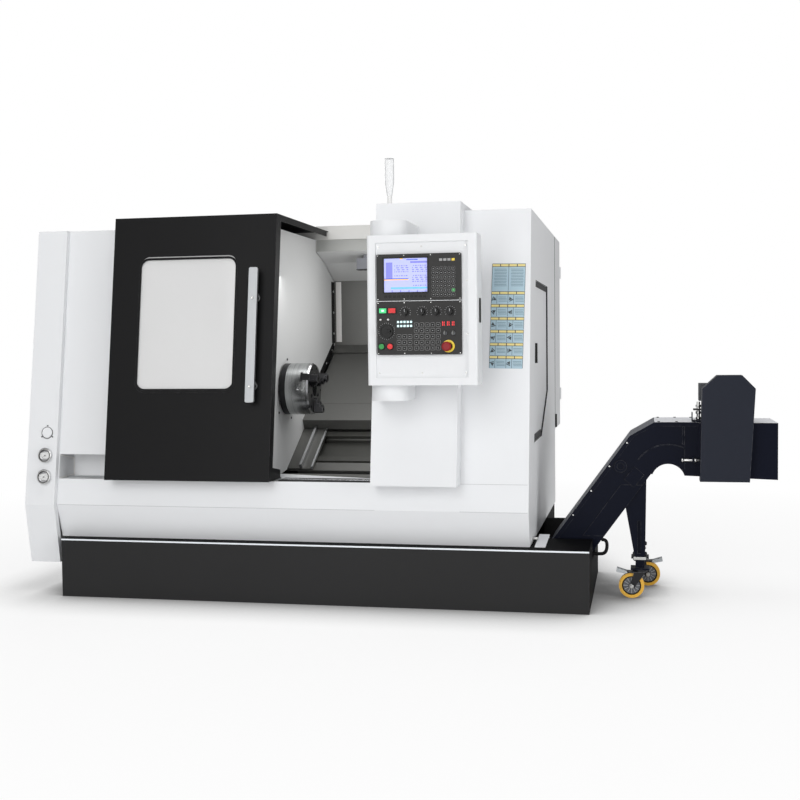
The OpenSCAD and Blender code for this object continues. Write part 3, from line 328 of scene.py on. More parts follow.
def place_group(tree: bpy.types.NodeTree, group: bpy.types.NodeTree, label: str,
                value: float) -> bpy.types.Node:
    """Puts a shared group into a material and sets its one input."""
    node = tree.nodes.new("ShaderNodeGroup")
    node.node_tree = group
    node.inputs[label].default_value = value
    return node


def mix_color(tree: bpy.types.NodeTree, factor: bpy.types.NodeSocket, a: object,
              b: Color) -> bpy.types.NodeSocket:
    """Mixes a colour over another by a mask.

    Args:
        tree: the material's tree.
        factor: the mask.
        a: socket or colour under it.
        b: colour over it.

    Returns:
        The mixed colour's socket.
    """
    node = tree.nodes.new("ShaderNodeMix")
    node.data_type = "RGBA"
    tree.links.new(factor, node.inputs[0])
    if isinstance(a, bpy.types.NodeSocket):
        tree.links.new(a, node.inputs[6])
    else:
        node.inputs[6].default_value = (*a, 1.0)
    node.inputs[7].default_value = (*b, 1.0)
    return node.outputs[2]


@dataclass(frozen=True)
class Finish:
    """One surface finish of the machine."""

    name: str
    color: Color
    rough: float = 0.4
    metal: float = 0.0
    coat: float = 0.0
    grain: Grain = Grain.MOULD
    size: float = 600.0
    relief: float = 0.05
    tone: float = 0.06
    edge_wear_and_highlight: float = 0.0
    # Colour of the rubbed edges: real wear, and on dark finishes also a painted edge highlight.
    bare_and_highlight: Color = (0.45, 0.45, 0.46)
    dust: float = 0.0
    alpha: float = 1.0
    glow: float = 0.0
    gloss: float = 0.5
    rim: float = 0.0

    def material(self) -> bpy.types.Material:
        """The finish's material, built once."""
        if self.name in bpy.data.materials:
            return bpy.data.materials[self.name]
        mat = bpy.data.materials.new(self.name)
        mat.use_nodes = True
        tree = mat.node_tree
        shader = tree.nodes["Principled BSDF"]
        grain = place_group(tree, grain_group(self.grain), "Scale", self.size)
        dark = tuple(c * (1.0 - self.tone) for c in self.color)
        light = tuple(min(1.0, c * (1.0 + self.tone)) for c in self.color)
        color = mix_color(tree, grain.outputs["Tone"], dark, light)
        # Rubbed edges take the edge colour: real wear, and on dark finishes also a painted edge highlight.
        if self.edge_wear_and_highlight > 0.0:
            edge_wear_and_highlight = place_group(tree, wear_and_highlight_group(), "Amount", self.edge_wear_and_highlight)
            color = mix_color(tree, edge_wear_and_highlight.outputs["Mask"], color, self.bare_and_highlight)
        if self.dust > 0.0:
            dust = place_group(tree, dust_group(), "Amount", self.dust)
            color = mix_color(tree, dust.outputs["Mask"], color, DUST)
        tree.links.new(color, shader.inputs["Base Color"])
        rough = range_node(tree, grain.outputs["Tone"], 0.2, 0.8, max(0.02, self.rough - ROUGH_SWING),
                           min(1.0, self.rough + ROUGH_SWING))
        tree.links.new(rough, shader.inputs["Roughness"])
        shader.inputs["Metallic"].default_value = self.metal
        shader.inputs["Specular IOR Level"].default_value = self.gloss
        shader.inputs["Coat Weight"].default_value = self.coat
        shader.inputs["Coat Roughness"].default_value = 0.12
        shader.inputs["Alpha"].default_value = self.alpha
        # Darkens the colour and thickens the alpha towards the silhouette: painted shade at the grazing edges
        # of a clear part.
        if self.rim > 0.0:
            facing = tree.nodes.new("ShaderNodeLayerWeight")
            edge = range_node(tree, facing.outputs["Facing"], 0.35, 0.95)
            color = mix_color(tree, edge, color, tuple(c * (1.0 - self.rim) for c in self.color))
            tree.links.new(color, shader.inputs["Base Color"])
            tree.links.new(range_node(tree, edge, 0.0, 1.0, self.alpha, 0.95), shader.inputs["Alpha"])
        if self.glow > 0.0:
            tree.links.new(color, shader.inputs["Emission Color"])
            shader.inputs["Emission Strength"].default_value = self.glow
        bump = tree.nodes.new("ShaderNodeBump")
        bump.inputs["Strength"].default_value = self.relief
        bump.inputs["Distance"].default_value = 0.001
        tree.links.new(grain.outputs["Height"], bump.inputs["Height"])
        tree.links.new(bump.outputs["Normal"], shader.inputs["Normal"])
        return mat


WHITE = Finish("off-white powder coat", (0.74, 0.75, 0.765), 0.44, grain=Grain.PEEL, size=700, relief=0.04,
               tone=0.02, edge_wear_and_highlight=0.12, bare_and_highlight=(0.6, 0.6, 0.6), dust=0.05, gloss=0.22)
CABINET = Finish("cabinet powder coat", (0.7, 0.71, 0.725), 0.45, grain=Grain.PEEL, size=700, relief=0.05,
                 tone=0.025, edge_wear_and_highlight=0.15, gloss=0.2)
# Paler than the outer paint: painted light that lifts the shade in the niche under the fixed panel.
NICHE_PAINTED_LIGHT = Finish("niche coat with painted light", (0.92, 0.93, 0.945), 0.5, grain=Grain.PEEL, size=700, relief=0.04,
               tone=0.02)
HOOD = Finish("hood paint", (0.67, 0.665, 0.645), 0.45, grain=Grain.PEEL, size=600, relief=0.04, tone=0.03,
              gloss=0.22)
# Darker grey: painted shade on the hood's front below the rail.
SOFFIT_SHADE = Finish("soffit painted shade", (0.41, 0.415, 0.4), 0.45, grain=Grain.PEEL, size=500, relief=0.04,
                tone=0.05, gloss=0.25)
INNER = Finish("inner wall paint", (0.7, 0.705, 0.7), 0.42, grain=Grain.PEEL, size=500, relief=0.04,
               tone=0.05)
BASE = Finish("charcoal base paint", (0.017, 0.017, 0.0175), 0.5, grain=Grain.PEEL, size=420, relief=0.12,
              tone=0.12, edge_wear_and_highlight=0.2, dust=0.06, gloss=0.2)
# Darker copy of the charcoal base paint: painted shade on the base's top faces and right end.
BASE_SHADE = Finish("charcoal base painted shade", (0.0035, 0.0035, 0.0042), 0.6, grain=Grain.PEEL, size=420, relief=0.1,
              tone=0.12, edge_wear_and_highlight=0.05, gloss=0.03)
# Pale strip colour: a painted highlight along the base ledge's front edge.
LIP_HIGHLIGHT = Finish("painted highlight ledge lip", (0.8, 0.84, 0.88), 0.3, grain=Grain.BRUSH_X, size=500, relief=0.05,
             tone=0.08, coat=0.2)
DOOR = Finish("door black", (0.0045, 0.0045, 0.005), 0.48, grain=Grain.PEEL, size=800, relief=0.04,
              tone=0.1, edge_wear_and_highlight=0.15, gloss=0.15)
CONVEYOR = Finish("blue-black conveyor paint", (0.0018, 0.003, 0.0098), 0.4, grain=Grain.PEEL, size=500,
                  relief=0.06, tone=0.15, edge_wear_and_highlight=0.22, dust=0.02, gloss=0.1)
COVER = Finish("blue-black cover paint", (0.01, 0.0125, 0.0215), 0.42, grain=Grain.PEEL, size=500,
               relief=0.06, tone=0.12, edge_wear_and_highlight=0.3, gloss=0.2)
FOLD = Finish("worn lid fold", (0.06, 0.066, 0.085), 0.4, 0.2, grain=Grain.BRUSH_X, size=400, relief=0.05,
              tone=0.12)
LID = Finish("bright lid sheet", (0.78, 0.79, 0.82), 0.45, 0.0, grain=Grain.BRUSH_X, size=400, relief=0.06,
             tone=0.12)
CASTING = Finish("painted casting", (0.22, 0.24, 0.26), 0.5, grain=Grain.CAST, size=300, relief=0.25,
                 tone=0.08, edge_wear_and_highlight=0.3)
GROUND = Finish("ground steel", (0.55, 0.56, 0.57), 0.24, 1.0, grain=Grain.BRUSH_X, size=900, relief=0.05,
                tone=0.12)
# Strong tone across the turned grain: partly real turning marks, partly painted reflection bands on the
# chuck's rim.
CHUCK_STEEL_AND_REFLECTION = Finish("turned chuck steel with painted reflection bands", (0.46, 0.47, 0.47), 0.2, 1.0, grain=Grain.TURNED, size=75, relief=0.03,
               tone=0.6)
FACE = Finish("dark chuck face", (0.1, 0.1, 0.1), 0.3, 0.9, size=700, relief=0.05, tone=0.2)
BLACKED = Finish("black oxide steel", (0.02, 0.02, 0.022), 0.34, 0.6, size=900, relief=0.06, tone=0.2,
                 edge_wear_and_highlight=0.6, bare_and_highlight=(0.35, 0.35, 0.36))
GUARD = Finish("dark stainless sheet", (0.135, 0.135, 0.128), 0.4, 0.4, grain=Grain.BRUSH_X, size=700,
               relief=0.06, tone=0.2)
# Bright stainless colour, also used as painted highlight on the niche's edges.
BRIGHT_STEEL_AND_HIGHLIGHT = Finish("bright stainless strip and painted highlight", (0.84, 0.82, 0.8), 0.3, 0.2, grain=Grain.BRUSH_Z, size=800,
                relief=0.05, tone=0.15)
TRAY = Finish("oiled tray sheet", (0.052, 0.052, 0.047), 0.46, 0.3, grain=Grain.BRUSH_X, size=600,
              relief=0.08, tone=0.16)
HOUSING = Finish("lamp housing", (0.17, 0.175, 0.195), 0.42, 0.2, grain=Grain.CAST, size=400, relief=0.06,
                 tone=0.1)
MOTOR = Finish("motor paint", (0.035, 0.038, 0.043), 0.45, grain=Grain.CAST, size=250, relief=0.15,
               edge_wear_and_highlight=0.3)
RUBBER = Finish("black rubber", (0.006, 0.006, 0.006), 0.7, size=900, relief=0.2, tone=0.15, gloss=0.2)
PLASTIC = Finish("panel plastic", (0.027, 0.0265, 0.026), 0.55, size=1600, relief=0.12, tone=0.12,
                 gloss=0.25)
KEY = Finish("key plastic", (0.005, 0.005, 0.005), 0.42, size=1600, relief=0.08, tone=0.12, gloss=0.25)
RIM = Finish("key outline", (0.24, 0.24, 0.24), 0.5, size=1600, relief=0.05, tone=0.1)
MARK = Finish("pale print", (0.55, 0.56, 0.57), 0.6, size=900, relief=0.03, tone=0.1)
HANDLE = Finish("satin handle", (0.34, 0.35, 0.36), 0.4, 0.8, grain=Grain.BRUSH_Z, size=900, relief=0.06,
                tone=0.12)
ALUMINIUM = Finish("brushed aluminium", (0.46, 0.47, 0.48), 0.32, 1.0, grain=Grain.BRUSH_Z, size=900,
                   relief=0.08, tone=0.14)
CHROME = Finish("polished chrome", (0.7, 0.7, 0.71), 0.1, 1.0, size=400, relief=0.01, tone=0.04)
ZINC = Finish("zinc plated", (0.58, 0.58, 0.57), 0.28, 1.0, size=700, relief=0.06, tone=0.14)
GLASS = Finish("door glass", (0.83, 0.83, 0.83), 0.08, size=120, relief=0.004, tone=0.03, alpha=0.66)
# The lens's rim setting paints shade at its grazing edges.
CLEAR = Finish("clear lens", (0.72, 0.74, 0.76), 0.12, size=300, relief=0.02, tone=0.05, alpha=0.22,
               rim=0.8)
PANE = Finish("gauge glass", (0.75, 0.76, 0.78), 0.08, size=300, relief=0.01, tone=0.04, alpha=0.08,
              gloss=0.08)
DIAL = Finish("gauge dial", (0.8, 0.8, 0.79), 0.5, size=900, relief=0.01, tone=0.03)
ESTOP = Finish("e-stop red", (0.24, 0.012, 0.015), 0.45, gloss=0.25, size=900, relief=0.04, tone=0.1)
SOFTKEY = Finish("grey key", (0.3, 0.3, 0.3), 0.45, size=1200, relief=0.06, tone=0.1)
RED = Finish("red plastic", (0.66, 0.01, 0.013), 0.3, gloss=0.3, size=900, relief=0.04, tone=0.1)
GREEN = Finish("green plastic", (0.012, 0.26, 0.045), 0.3, gloss=0.3, size=900, relief=0.04, tone=0.1)
GREEN_LIT = Finish("lit green plastic", (0.02, 0.5, 0.15), 0.3, size=900, relief=0.03, glow=0.5)
YELLOW = Finish("yellow plastic", (0.74, 0.53, 0.02), 0.35, size=900, relief=0.04, tone=0.08)
CORE = Finish("lit core", (0.55, 0.95, 0.7), 0.3, size=900, relief=0.02, glow=0.8)
RED_LIT = Finish("red digits", (0.9, 0.02, 0.03), 0.4, size=900, relief=0.02, glow=0.9)
LED_LIT = Finish("pale indicator", (0.62, 0.88, 0.9), 0.3, size=900, relief=0.02, glow=0.35)
TYRE = Finish("yellow polyurethane", (0.74, 0.42, 0.045), 0.42, size=700, relief=0.06, tone=0.12, dust=0.1)
HUB = Finish("grey nylon hub", (0.11, 0.115, 0.125), 0.5, size=700, relief=0.08, tone=0.12)
PEDAL = Finish("grey brake pedal", (0.46, 0.49, 0.51), 0.45, size=800, relief=0.08, tone=0.1)
GAP = Finish("shadow gap", (0.03, 0.03, 0.032), 0.7, size=500, relief=0.05, tone=0.1)
SEAM = Finish("panel seam", (0.42, 0.43, 0.44), 0.6, size=500, relief=0.05, tone=0.08)
SLATE = Finish("blank chart field", (0.37, 0.51, 0.59), 0.5, size=500, relief=0.02, tone=0.06)
FADED = Finish("chart rule", (0.085, 0.125, 0.155), 0.6, size=500, relief=0.02, tone=0.08)
LINE = Finish("chart line", (0.05, 0.065, 0.075), 0.6, size=500, relief=0.02, tone=0.08)
HEADER = Finish("chart header strip", (0.74, 0.62, 0.24), 0.5, size=500, relief=0.02, tone=0.05)
LAMP = Finish("lamp diffuser", (0.82, 0.83, 0.8), 0.4, size=300, relief=0.03, glow=0.6)
PAGE = Finish("screen page", (0.4, 0.43, 0.82), 0.4, size=500, relief=0.0, glow=0.34)
SHADE = Finish("screen table", (0.16, 0.17, 0.56), 0.4, size=500, relief=0.0, glow=0.45)
BAND = Finish("screen band", (0.03, 0.07, 0.48), 0.25, size=500, relief=0.0, glow=0.6)
CYAN = Finish("screen foot", (0.09, 0.36, 0.75), 0.25, size=500, relief=0.0, glow=0.62)
AMBER = Finish("screen line", (0.8, 0.42, 0.06), 0.25, size=500, relief=0.0, glow=0.5)


# Making pieces by hand


def clear_selection() -> None:
    """Leaves object mode with nothing selected."""
    if bpy.context.object is not None and bpy.context.object.mode != "OBJECT":
        bpy.ops.object.mode_set(mode="OBJECT")
    bpy.ops.object.select_all(action="DESELECT")


def begin(name: str) -> bpy.types.Object:
    """Names the primitive that was just added and applies its place."""
    ob = bpy.context.object
    ob.name = name
    bpy.ops.object.transform_apply(location=True, rotation=True, scale=True)
    return ob


def pick_faces(ob: bpy.types.Object, test: Callable[[bpy.types.MeshPolygon], bool]) -> None:
    """Selects faces by a test and goes to edit mode."""
    bpy.ops.object.mode_set(mode="EDIT")
    bpy.ops.mesh.select_mode(type="FACE")
    bpy.ops.mesh.select_all(action="DESELECT")
    bpy.ops.object.mode_set(mode="OBJECT")
    for poly in ob.data.polygons:
        poly.select = test(poly)
    bpy.ops.object.mode_set(mode="EDIT")


def round_edges(ob: bpy.types.Object, width: float, segments: int = 2) -> None:
    """Rounds the sharp edges with an applied bevel.

    Args:
        ob: the piece.
        width: width of the round in metres.
        segments: faces across the round.
    """
    if width <= 0.0:
        return
    mod = ob.modifiers.new("round", "BEVEL")
    mod.width = width
    mod.segments = segments
    mod.limit_method = "ANGLE"
    mod.angle_limit = math.radians(40.0)
    bpy.context.view_layer.objects.active = ob
    bpy.ops.object.modifier_apply(modifier=mod.name)


def plate(name: str, width: float, height: float, corner: float, segments: int) -> bpy.types.Object:
    """A flat face with round corners, left in edit mode.

    Args:
        name: the piece's name.
        width: width in metres.
        height: height in metres.
        corner: corner radius.
        segments: faces round a corner.

    Returns:
        The flat face.
    """
    clear_selection()
    bpy.ops.mesh.primitive_plane_add(size=1.0)
    bpy.context.object.scale = (width, height, 1.0)
    ob = begin(name)
    bpy.ops.object.mode_set(mode="EDIT")
    bpy.ops.mesh.select_all(action="SELECT")
    bpy.ops.mesh.bevel(offset=corner, segments=segments, affect="VERTICES")
    return ob


def cut_middle(band: float) -> None:
    """Leaves only a band along the edge of the flat face in edit mode."""
    bpy.ops.mesh.select_mode(type="FACE")
    bpy.ops.mesh.select_all(action="SELECT")
    bpy.ops.mesh.inset(thickness=band, use_boundary=True)
    bpy.ops.mesh.delete(type="FACE")


def draw_out(ob: bpy.types.Object, thick: float, edge: float) -> None:
    """Draws the flat face in edit mode out to a thickness and rounds its edges."""
    bpy.ops.mesh.select_all(action="SELECT")
    bpy.ops.mesh.extrude_region_move(TRANSFORM_OT_translate={"value": (0, 0, thick)})
    bpy.ops.mesh.select_all(action="SELECT")
    bpy.ops.mesh.normals_make_consistent(inside=False)
    bpy.ops.object.mode_set(mode="OBJECT")
    round_edges(ob, edge)


def smooth(ob: bpy.types.Object) -> None:
    """Shades round faces smooth and keeps the sharper edges crisp."""
    clear_selection()
    ob.select_set(True)
    bpy.context.view_layer.objects.active = ob
    bpy.ops.object.shade_smooth_by_angle(angle=math.radians(35.0))


def copy_of(pattern: bpy.types.Object, name: str) -> bpy.types.Object:
    """A copy of a pattern piece under its own name."""
    copy = pattern.copy()
    copy.data = pattern.data.copy()
    copy.name = name
    bpy.context.scene.collection.objects.link(copy)
    return copy


def block(name: str, size: Vector, edge: float = 0.001) -> bpy.types.Object:
    """A block that stands on its place's face, rounded at its edges.

    Args:
        name: the piece's name.
        size: width, height and thickness in metres.
        edge: width of the rounded edges.

    Returns:
        The block, centred in width and height.
    """
    clear_selection()
    bpy.ops.mesh.primitive_cube_add(size=1.0, location=(0, 0, size[2] / 2), scale=size)
    ob = begin(name)
    round_edges(ob, min(edge, min(size) * 0.3))
    return ob


def slab(name: str, width: float, height: float, thick: float, corner: float,
         edge: float = 0.0006) -> bpy.types.Object:
    """A plate with round corners, drawn out from a flat face.

    Args:
        name: the piece's name.
        width: width in metres.
        height: height in metres.
        thick: thickness in metres.
        corner: corner radius.
        edge: width of the rounded edges.

    Returns:
        The plate.
    """
    ob = plate(name, width, height, corner, 6)
    draw_out(ob, thick, edge)
    return ob


def hoop(name: str, width: float, height: float, corner: float, band: float, thick: float,
         edge: float = 0.0008) -> bpy.types.Object:
    """A flat band round a rectangle with round corners.

    Args:
        name: the piece's name.
        width: outer width in metres.
        height: outer height in metres.
        corner: outer corner radius.
        band: width of the band.
        thick: thickness.
        edge: width of the rounded edges.

    Returns:
        The band.
    """
    ob = plate(name, width, height, corner, 8)
    cut_middle(band)
    draw_out(ob, thick, edge)
    return ob


def drum(name: str, radius: float, height: float, edge: float = 0.0006, sides: int = 32,
         top: Optional[float] = None, dish: Optional[tuple[float, float]] = None) -> bpy.types.Object:
    """A round piece that stands on its place's face.

    Args:
        name: the piece's name.
        radius: radius at the foot in metres.
        height: height in metres.
        edge: width of the rounded edges.
        sides: sides of the round.
        top: radius at the top, where it tapers.
        dish: rim width and depth of a dish in the top.

    Returns:
        The piece.
    """
    clear_selection()
    bpy.ops.mesh.primitive_cone_add(vertices=sides, radius1=radius, radius2=radius if top is None else top,
                                    depth=height, location=(0, 0, height / 2))
    ob = begin(name)
    if dish is not None:
        pick_faces(ob, lambda p: p.normal.z > 0.9)
        bpy.ops.mesh.inset(thickness=dish[0])
        bpy.ops.mesh.extrude_region_move(TRANSFORM_OT_translate={"value": (0, 0, -dish[1])})
        bpy.ops.object.mode_set(mode="OBJECT")
    round_edges(ob, edge, 1 if sides < 13 else 2)
    smooth(ob)
    return ob


def ring(name: str, outer: float, inner: float, height: float, edge: float = 0.0006,
         sides: int = 48) -> bpy.types.Object:
    """A flat ring drawn out from a disc.

    Args:
        name: the piece's name.
        outer: outer radius in metres.
        inner: inner radius.
        height: height.
        edge: width of the rounded edges.
        sides: sides of the round.

    Returns:
        The ring.
    """
    clear_selection()
    bpy.ops.mesh.primitive_circle_add(vertices=sides, radius=outer, fill_type="NGON")
    ob = begin(name)
    bpy.ops.object.mode_set(mode="EDIT")
    cut_middle(outer - inner)
    draw_out(ob, height, edge)
    smooth(ob)
    return ob


def cap_screw(name: str, radius: float) -> bpy.types.Object:
    """A socket head cap screw's head."""
    return drum(name, radius, radius * 1.1, radius * 0.12, 20, dish=(radius * 0.45, radius * 0.5))


def pan_screw(name: str, radius: float) -> bpy.types.Object:
    """A low screw head with a small recess."""
    return drum(name, radius, radius * 0.55, radius * 0.2, 16, dish=(radius * 0.6, radius * 0.25))


def hex_nut(name: str, radius: float) -> bpy.types.Object:
    """A hexagon head with a round chamfered top."""
    return drum(name, radius, radius * 0.8, radius * 0.08, 6, dish=(radius * 0.3, -radius * 0.3))


def hose(name: str, points: Sequence[Vector], radius: float) -> bpy.types.Object:
    """A round bent tube along points.

    Args:
        name: the piece's name.
        points: places it passes through, in metres.
        radius: its radius.

    Returns:
        The tube as a mesh.
    """
    clear_selection()
    curve = bpy.data.curves.new(name, "CURVE")
    curve.dimensions = "3D"
    curve.bevel_depth = radius
    curve.bevel_resolution = 3
    curve.use_fill_caps = True
    spline = curve.splines.new("NURBS")
    spline.points.add(len(points) - 1)
    for point, target in zip(spline.points, points):
        point.co = (*target, 1.0)
    spline.use_endpoint_u = True
    spline.order_u = 3
    ob = bpy.data.objects.new(name, curve)
    bpy.context.scene.collection.objects.link(ob)
    ob.select_set(True)
    bpy.context.view_layer.objects.active = ob
    bpy.ops.object.convert(target="MESH")
    ob = bpy.context.object
    bpy.ops.object.shade_smooth()
    return ob


def repeat(ob: bpy.types.Object, places: Iterable[Matrix]) -> bpy.types.Object:
    """Copies a piece to several places and joins the copies.

    Args:
        ob: the first piece, modelled at the origin.
        places: where each copy goes.

    Returns:
        One piece that holds all copies.
    """
    clear_selection()
    copies = []
    for matrix in places:
        copy = ob.copy()
        copy.data = ob.data.copy()
        copy.data.transform(matrix)
        bpy.context.scene.collection.objects.link(copy)
        copies.append(copy)
    name = ob.name
    old = ob.data
    bpy.data.objects.remove(ob)
    bpy.data.meshes.remove(old)
    for copy in copies:
        copy.select_set(True)
    bpy.context.view_layer.objects.active = copies[0]
    if len(copies) > 1:
        bpy.ops.object.join()
    joined = bpy.context.object
    joined.name = name
    return joined


def fit(ob: bpy.types.Object, finish: Finish, body: str,
        where: Optional[Matrix] = None) -> bpy.types.Object:
    """Puts a piece in place, gives it its finish and its body, and logs it.

    Args:
        ob: the piece.
        finish: its finish.
        body: the body that it rides on.
        where: its place, when it was modelled at the origin.

    Returns:
        The same piece.
    """
    if where is not None:
        ob.data.transform(where)
    ob.data.materials.clear()
    ob.data.materials.append(finish.material())
    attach(ob, body)
    log.info("piece %s on %s", ob.name, body)
    return ob


def dress(node: str, finishes: Sequence[Finish], rule: Optional[Rule] = None) -> None:
    """Gives a solid of the frame its finish, or several by the place of its faces.

    Args:
        node: the solid's name.
        finishes: its finishes.
        rule: picks a finish from a face's middle in machine millimetres and its normal.
    """
    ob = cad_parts[node]
    ob.data.materials.clear()
    for finish in finishes:
        ob.data.materials.append(finish.material())
    for poly in ob.data.polygons:
        poly.material_index = 0 if rule is None else rule(machine_mm(poly.center), poly.normal)
    log.info("dressed %s", node)


# The machine's sub-assemblies


@dataclass
class Base:
    """Base pan with its ledge and tank."""

    length: float = 2500.0
    height: float = 277.0
    lip: float = 7.0
    lid_x: float = 2279.0

    def dress(self) -> None:
        """Paints the base, with painted shade darkening its top faces and right end."""
        # Top faces and the right end take the painted shade.
        dress("base_tank", [BASE, BASE_SHADE], lambda c, n: 1 if n.z > 0.9 or n.x > 0.9 else 0)

    def build(self) -> None:
        """Adds a painted highlight strip along the ledge's front edge, and the lid, pipe and hose at the
        tank.
        """
        strip = block("ledge_highlight", Vector((self.length * MM, self.lip * MM, 0.0015)), 0.0005)
        fit(strip, LIP_HIGHLIGHT, "frame", on_near(self.length / 2, self.height - self.lip / 2, 0.0))
        tilt = axes(place(self.lid_x, 211, 284.5), Vector((1, 0, 0)), Vector((0, 1, 0.057)))
        fit(slab("tank_lid", 0.048, 0.264, 0.003, 0.004), LID, "frame", tilt)
        fold = block("tank_lid_fold", Vector((0.044, 0.017, 0.003)), 0.0006)
        fit(fold, LID, "frame", on_near(self.lid_x, 285.5, 338))
        pipe = drum("tank_pipe", 0.009, 0.024, 0.001, 24, dish=(0.002, 0.004))
        fit(pipe, ZINC, "frame", on_side(215, 292))
        loop = [place(2538, 400, 266), place(2560, 402, 268), place(2566, 404, 234), place(2556, 404, 200),
                place(2520, 402, 198), place(2494, 400, 200)]
        fit(hose("coolant_hose", loop, 0.008), RUBBER, "frame")


@dataclass
class Enclosure:
    """Sheet metal body with gauges, hatch, chart plate and cabinet."""

    gauge_x: float = -88.2
    gauge_heights: tuple[float, float] = (571.0, 673.0)
    cap_height: float = 781.0
    column_proud: float = 28.0
    chart_at: tuple[float, float] = (2131.0, 1313.0)
    chart_size: tuple[float, float] = (152.0, 480.0)
    chart_lean: float = -1.2
    chart_rows: int = 6
    sill_z: float = 560.0
    niche_x: float = -31.0
    hatch_x: float = 2226.2
    cabinet_middle: tuple[float, float] = (1742.0, 1250.0)
    cabinet_back: float = 2052.3
    latch_x: float = 1290.0
    latch_heights: tuple[float, float] = (950.0, 1550.0)

    def dress(self) -> None:
        """Paints the covers, walls and cabinet."""
        for node in ("left_cover", "pillar"):
            dress(node, [WHITE])
        dress("apron", [WHITE, GUARD, NICHE_PAINTED_LIGHT], self._apron_face)
        dress("right_cover", [WHITE, GAP], self._cover_face)
        dress("roof_cover", [WHITE, INNER, HOOD], self._roof_face)
        # The hatch's edge faces take the painted shadow gap.
        dress("side_hatch", [WHITE, GAP, PLASTIC], self._hatch_face)
        dress("cabinet", [CABINET])
        dress("cabinet_door", [CABINET])
        dress("gauges", [CHROME, DIAL], lambda c, n: 1 if n.y < -0.5 and self._near_gauge(c) else 0)

    def _near_gauge(self, c: Vector) -> bool:
        """Whether a face lies in a gauge's dish."""
        return min(math.hypot(c.x - self.gauge_x, c.z - z) for z in self.gauge_heights) < 16.0

    @staticmethod
    def _apron_face(c: Vector, n: Vector) -> int:
        """Picks outer paint, the sill lip's sheet or the niche's paler paint, which paints light into the
        shaded niche, for the apron.
        """
        if c.y > 203 and 560.5 < c.z < 583 and c.x > 980:
            return 1
        return 2 if 560 < c.z < 692 and c.y > 70 and c.x < 985 and n.y < -0.9 else 0

    @staticmethod
    def _cover_face(c: Vector, n: Vector) -> int:
        """Painted shadow gap on the cut edges round the hatch, paint for the rest of the right cover."""
        return 1 if abs(n.x) < 0.5 and c.x > 2228 and 240 < c.y < 1140 and 715 < c.z < 1495 else 0

    @staticmethod
    def _roof_face(c: Vector, n: Vector) -> int:
        """Picks outer paint, inner paint or the hood's own paint for the roof."""
        if n.y < -0.9 and 1060 < c.y < 1070:
            return 2
        return 1 if n.z < -0.3 or 990 < c.x < 2105 and 1070 < c.y < 1620 else 0

    @staticmethod
    def _hatch_face(c: Vector, n: Vector) -> int:
        """Picks paint, painted shadow gap on the edges or black handle for the hatch."""
        if 392 < c.y < 416 and 1090 < c.z < 1195 and c.x > 2226.5:
            return 2
        return 1 if abs(n.x) < 0.5 else 0

    def build(self) -> None:
        """Adds gauges, cap ring, seams, chart plate, painted shadow strips at the hatch, painted highlight
        strips in the niche, and cabinet hardware.
        """
        self._gauges()
        self._seams()
        self._chart()
        self._hatch_shadows()
        self._niche_highlights()
        self._cabinet()

    def _hatch_shadows(self) -> None:
        """Painted shadow strips in the gaps along the hatch's top and foot."""
        # Dark strips in the hatch's gaps: painted shadow.
        top = block("hatch_shadow_top", Vector((0.690, 0.026, 0.004)), 0.0008)
        fit(top, GAP, "frame", on_side(782.0, 1472.0, self.hatch_x))
        foot = block("hatch_shadow_foot", Vector((0.400, 0.030, 0.004)), 0.0008)
        fit(foot, GAP, "frame", on_side(532.0, 744.0, self.hatch_x))

    def _niche_highlights(self) -> None:
        """Painted highlight strips along the edges of the niche's side wall under the fixed panel."""
        # Bright strips along the niche's edges: painted highlight.
        runs = [("niche_highlight_top", 137.0, 660.0, 0.137, -11.8),
                ("niche_highlight_back", 204.0, 606.0, 0.084, 90.0),
                ("niche_highlight_foot", 130.0, 564.5, 0.148, 1.2)]
        for name, y, z, long, lean in runs:
            strip = block(name, Vector((long, 0.0055, 0.003)), 0.0008)
            fit(strip, BRIGHT_STEEL_AND_HIGHLIGHT, "frame", on_side(y, z, self.niche_x) @ turn(lean))

    def _gauges(self) -> None:
        """Marks, needles, glasses and rims of both gauges, and the cap's ring and screws."""
        places = [on_front(self.gauge_x, z, self.column_proud + 13.0) for z in self.gauge_heights]
        tick = block("gauge_marks", Vector((0.0009, 0.005, 0.0004)), 0.0001)
        ticks = [p @ turn(a) @ shift(0, 0.021) for p in places for a in range(-135, 136, 27)]
        fit(repeat(tick, ticks), KEY, "frame")
        needle = block("gauge_needles", Vector((0.0012, 0.022, 0.0006)), 0.0002)
        swing = shift(0, 0, 0.001) @ turn(126) @ shift(0, 0.007)
        fit(repeat(needle, [p @ swing for p in places]), KEY, "frame")
        hub = drum("gauge_hubs", 0.003, 0.003, 0.0005, 16)
        fit(repeat(hub, places), KEY, "frame")
        raised = [p @ shift(0, 0, 0.0035) for p in places]
        glass = drum("gauge_glasses", 0.0274, 0.0012, 0.0004, 40)
        fit(repeat(glass, raised), PANE, "frame")
        bezel = ring("gauge_bezels", 0.0335, 0.0275, 0.004, 0.001)
        fit(repeat(bezel, raised), ZINC, "frame")
        rim = ring("gauge_rims", 0.0288, 0.0260, 0.0046, 0.0004)
        fit(repeat(rim, raised), GAP, "frame")
        edge = ring("cap_ring", 0.0290, 0.0262, 0.0036, 0.0006)
        cap = on_front(self.gauge_x, self.cap_height, self.column_proud)
        fit(edge, GAP, "frame", cap)
        screw = pan_screw("cap_screws", 0.0035)
        around = [cap @ turn(a) @ shift(0.034, 0) for a in (90, 215, 325)]
        fit(repeat(screw, around), GAP, "frame")

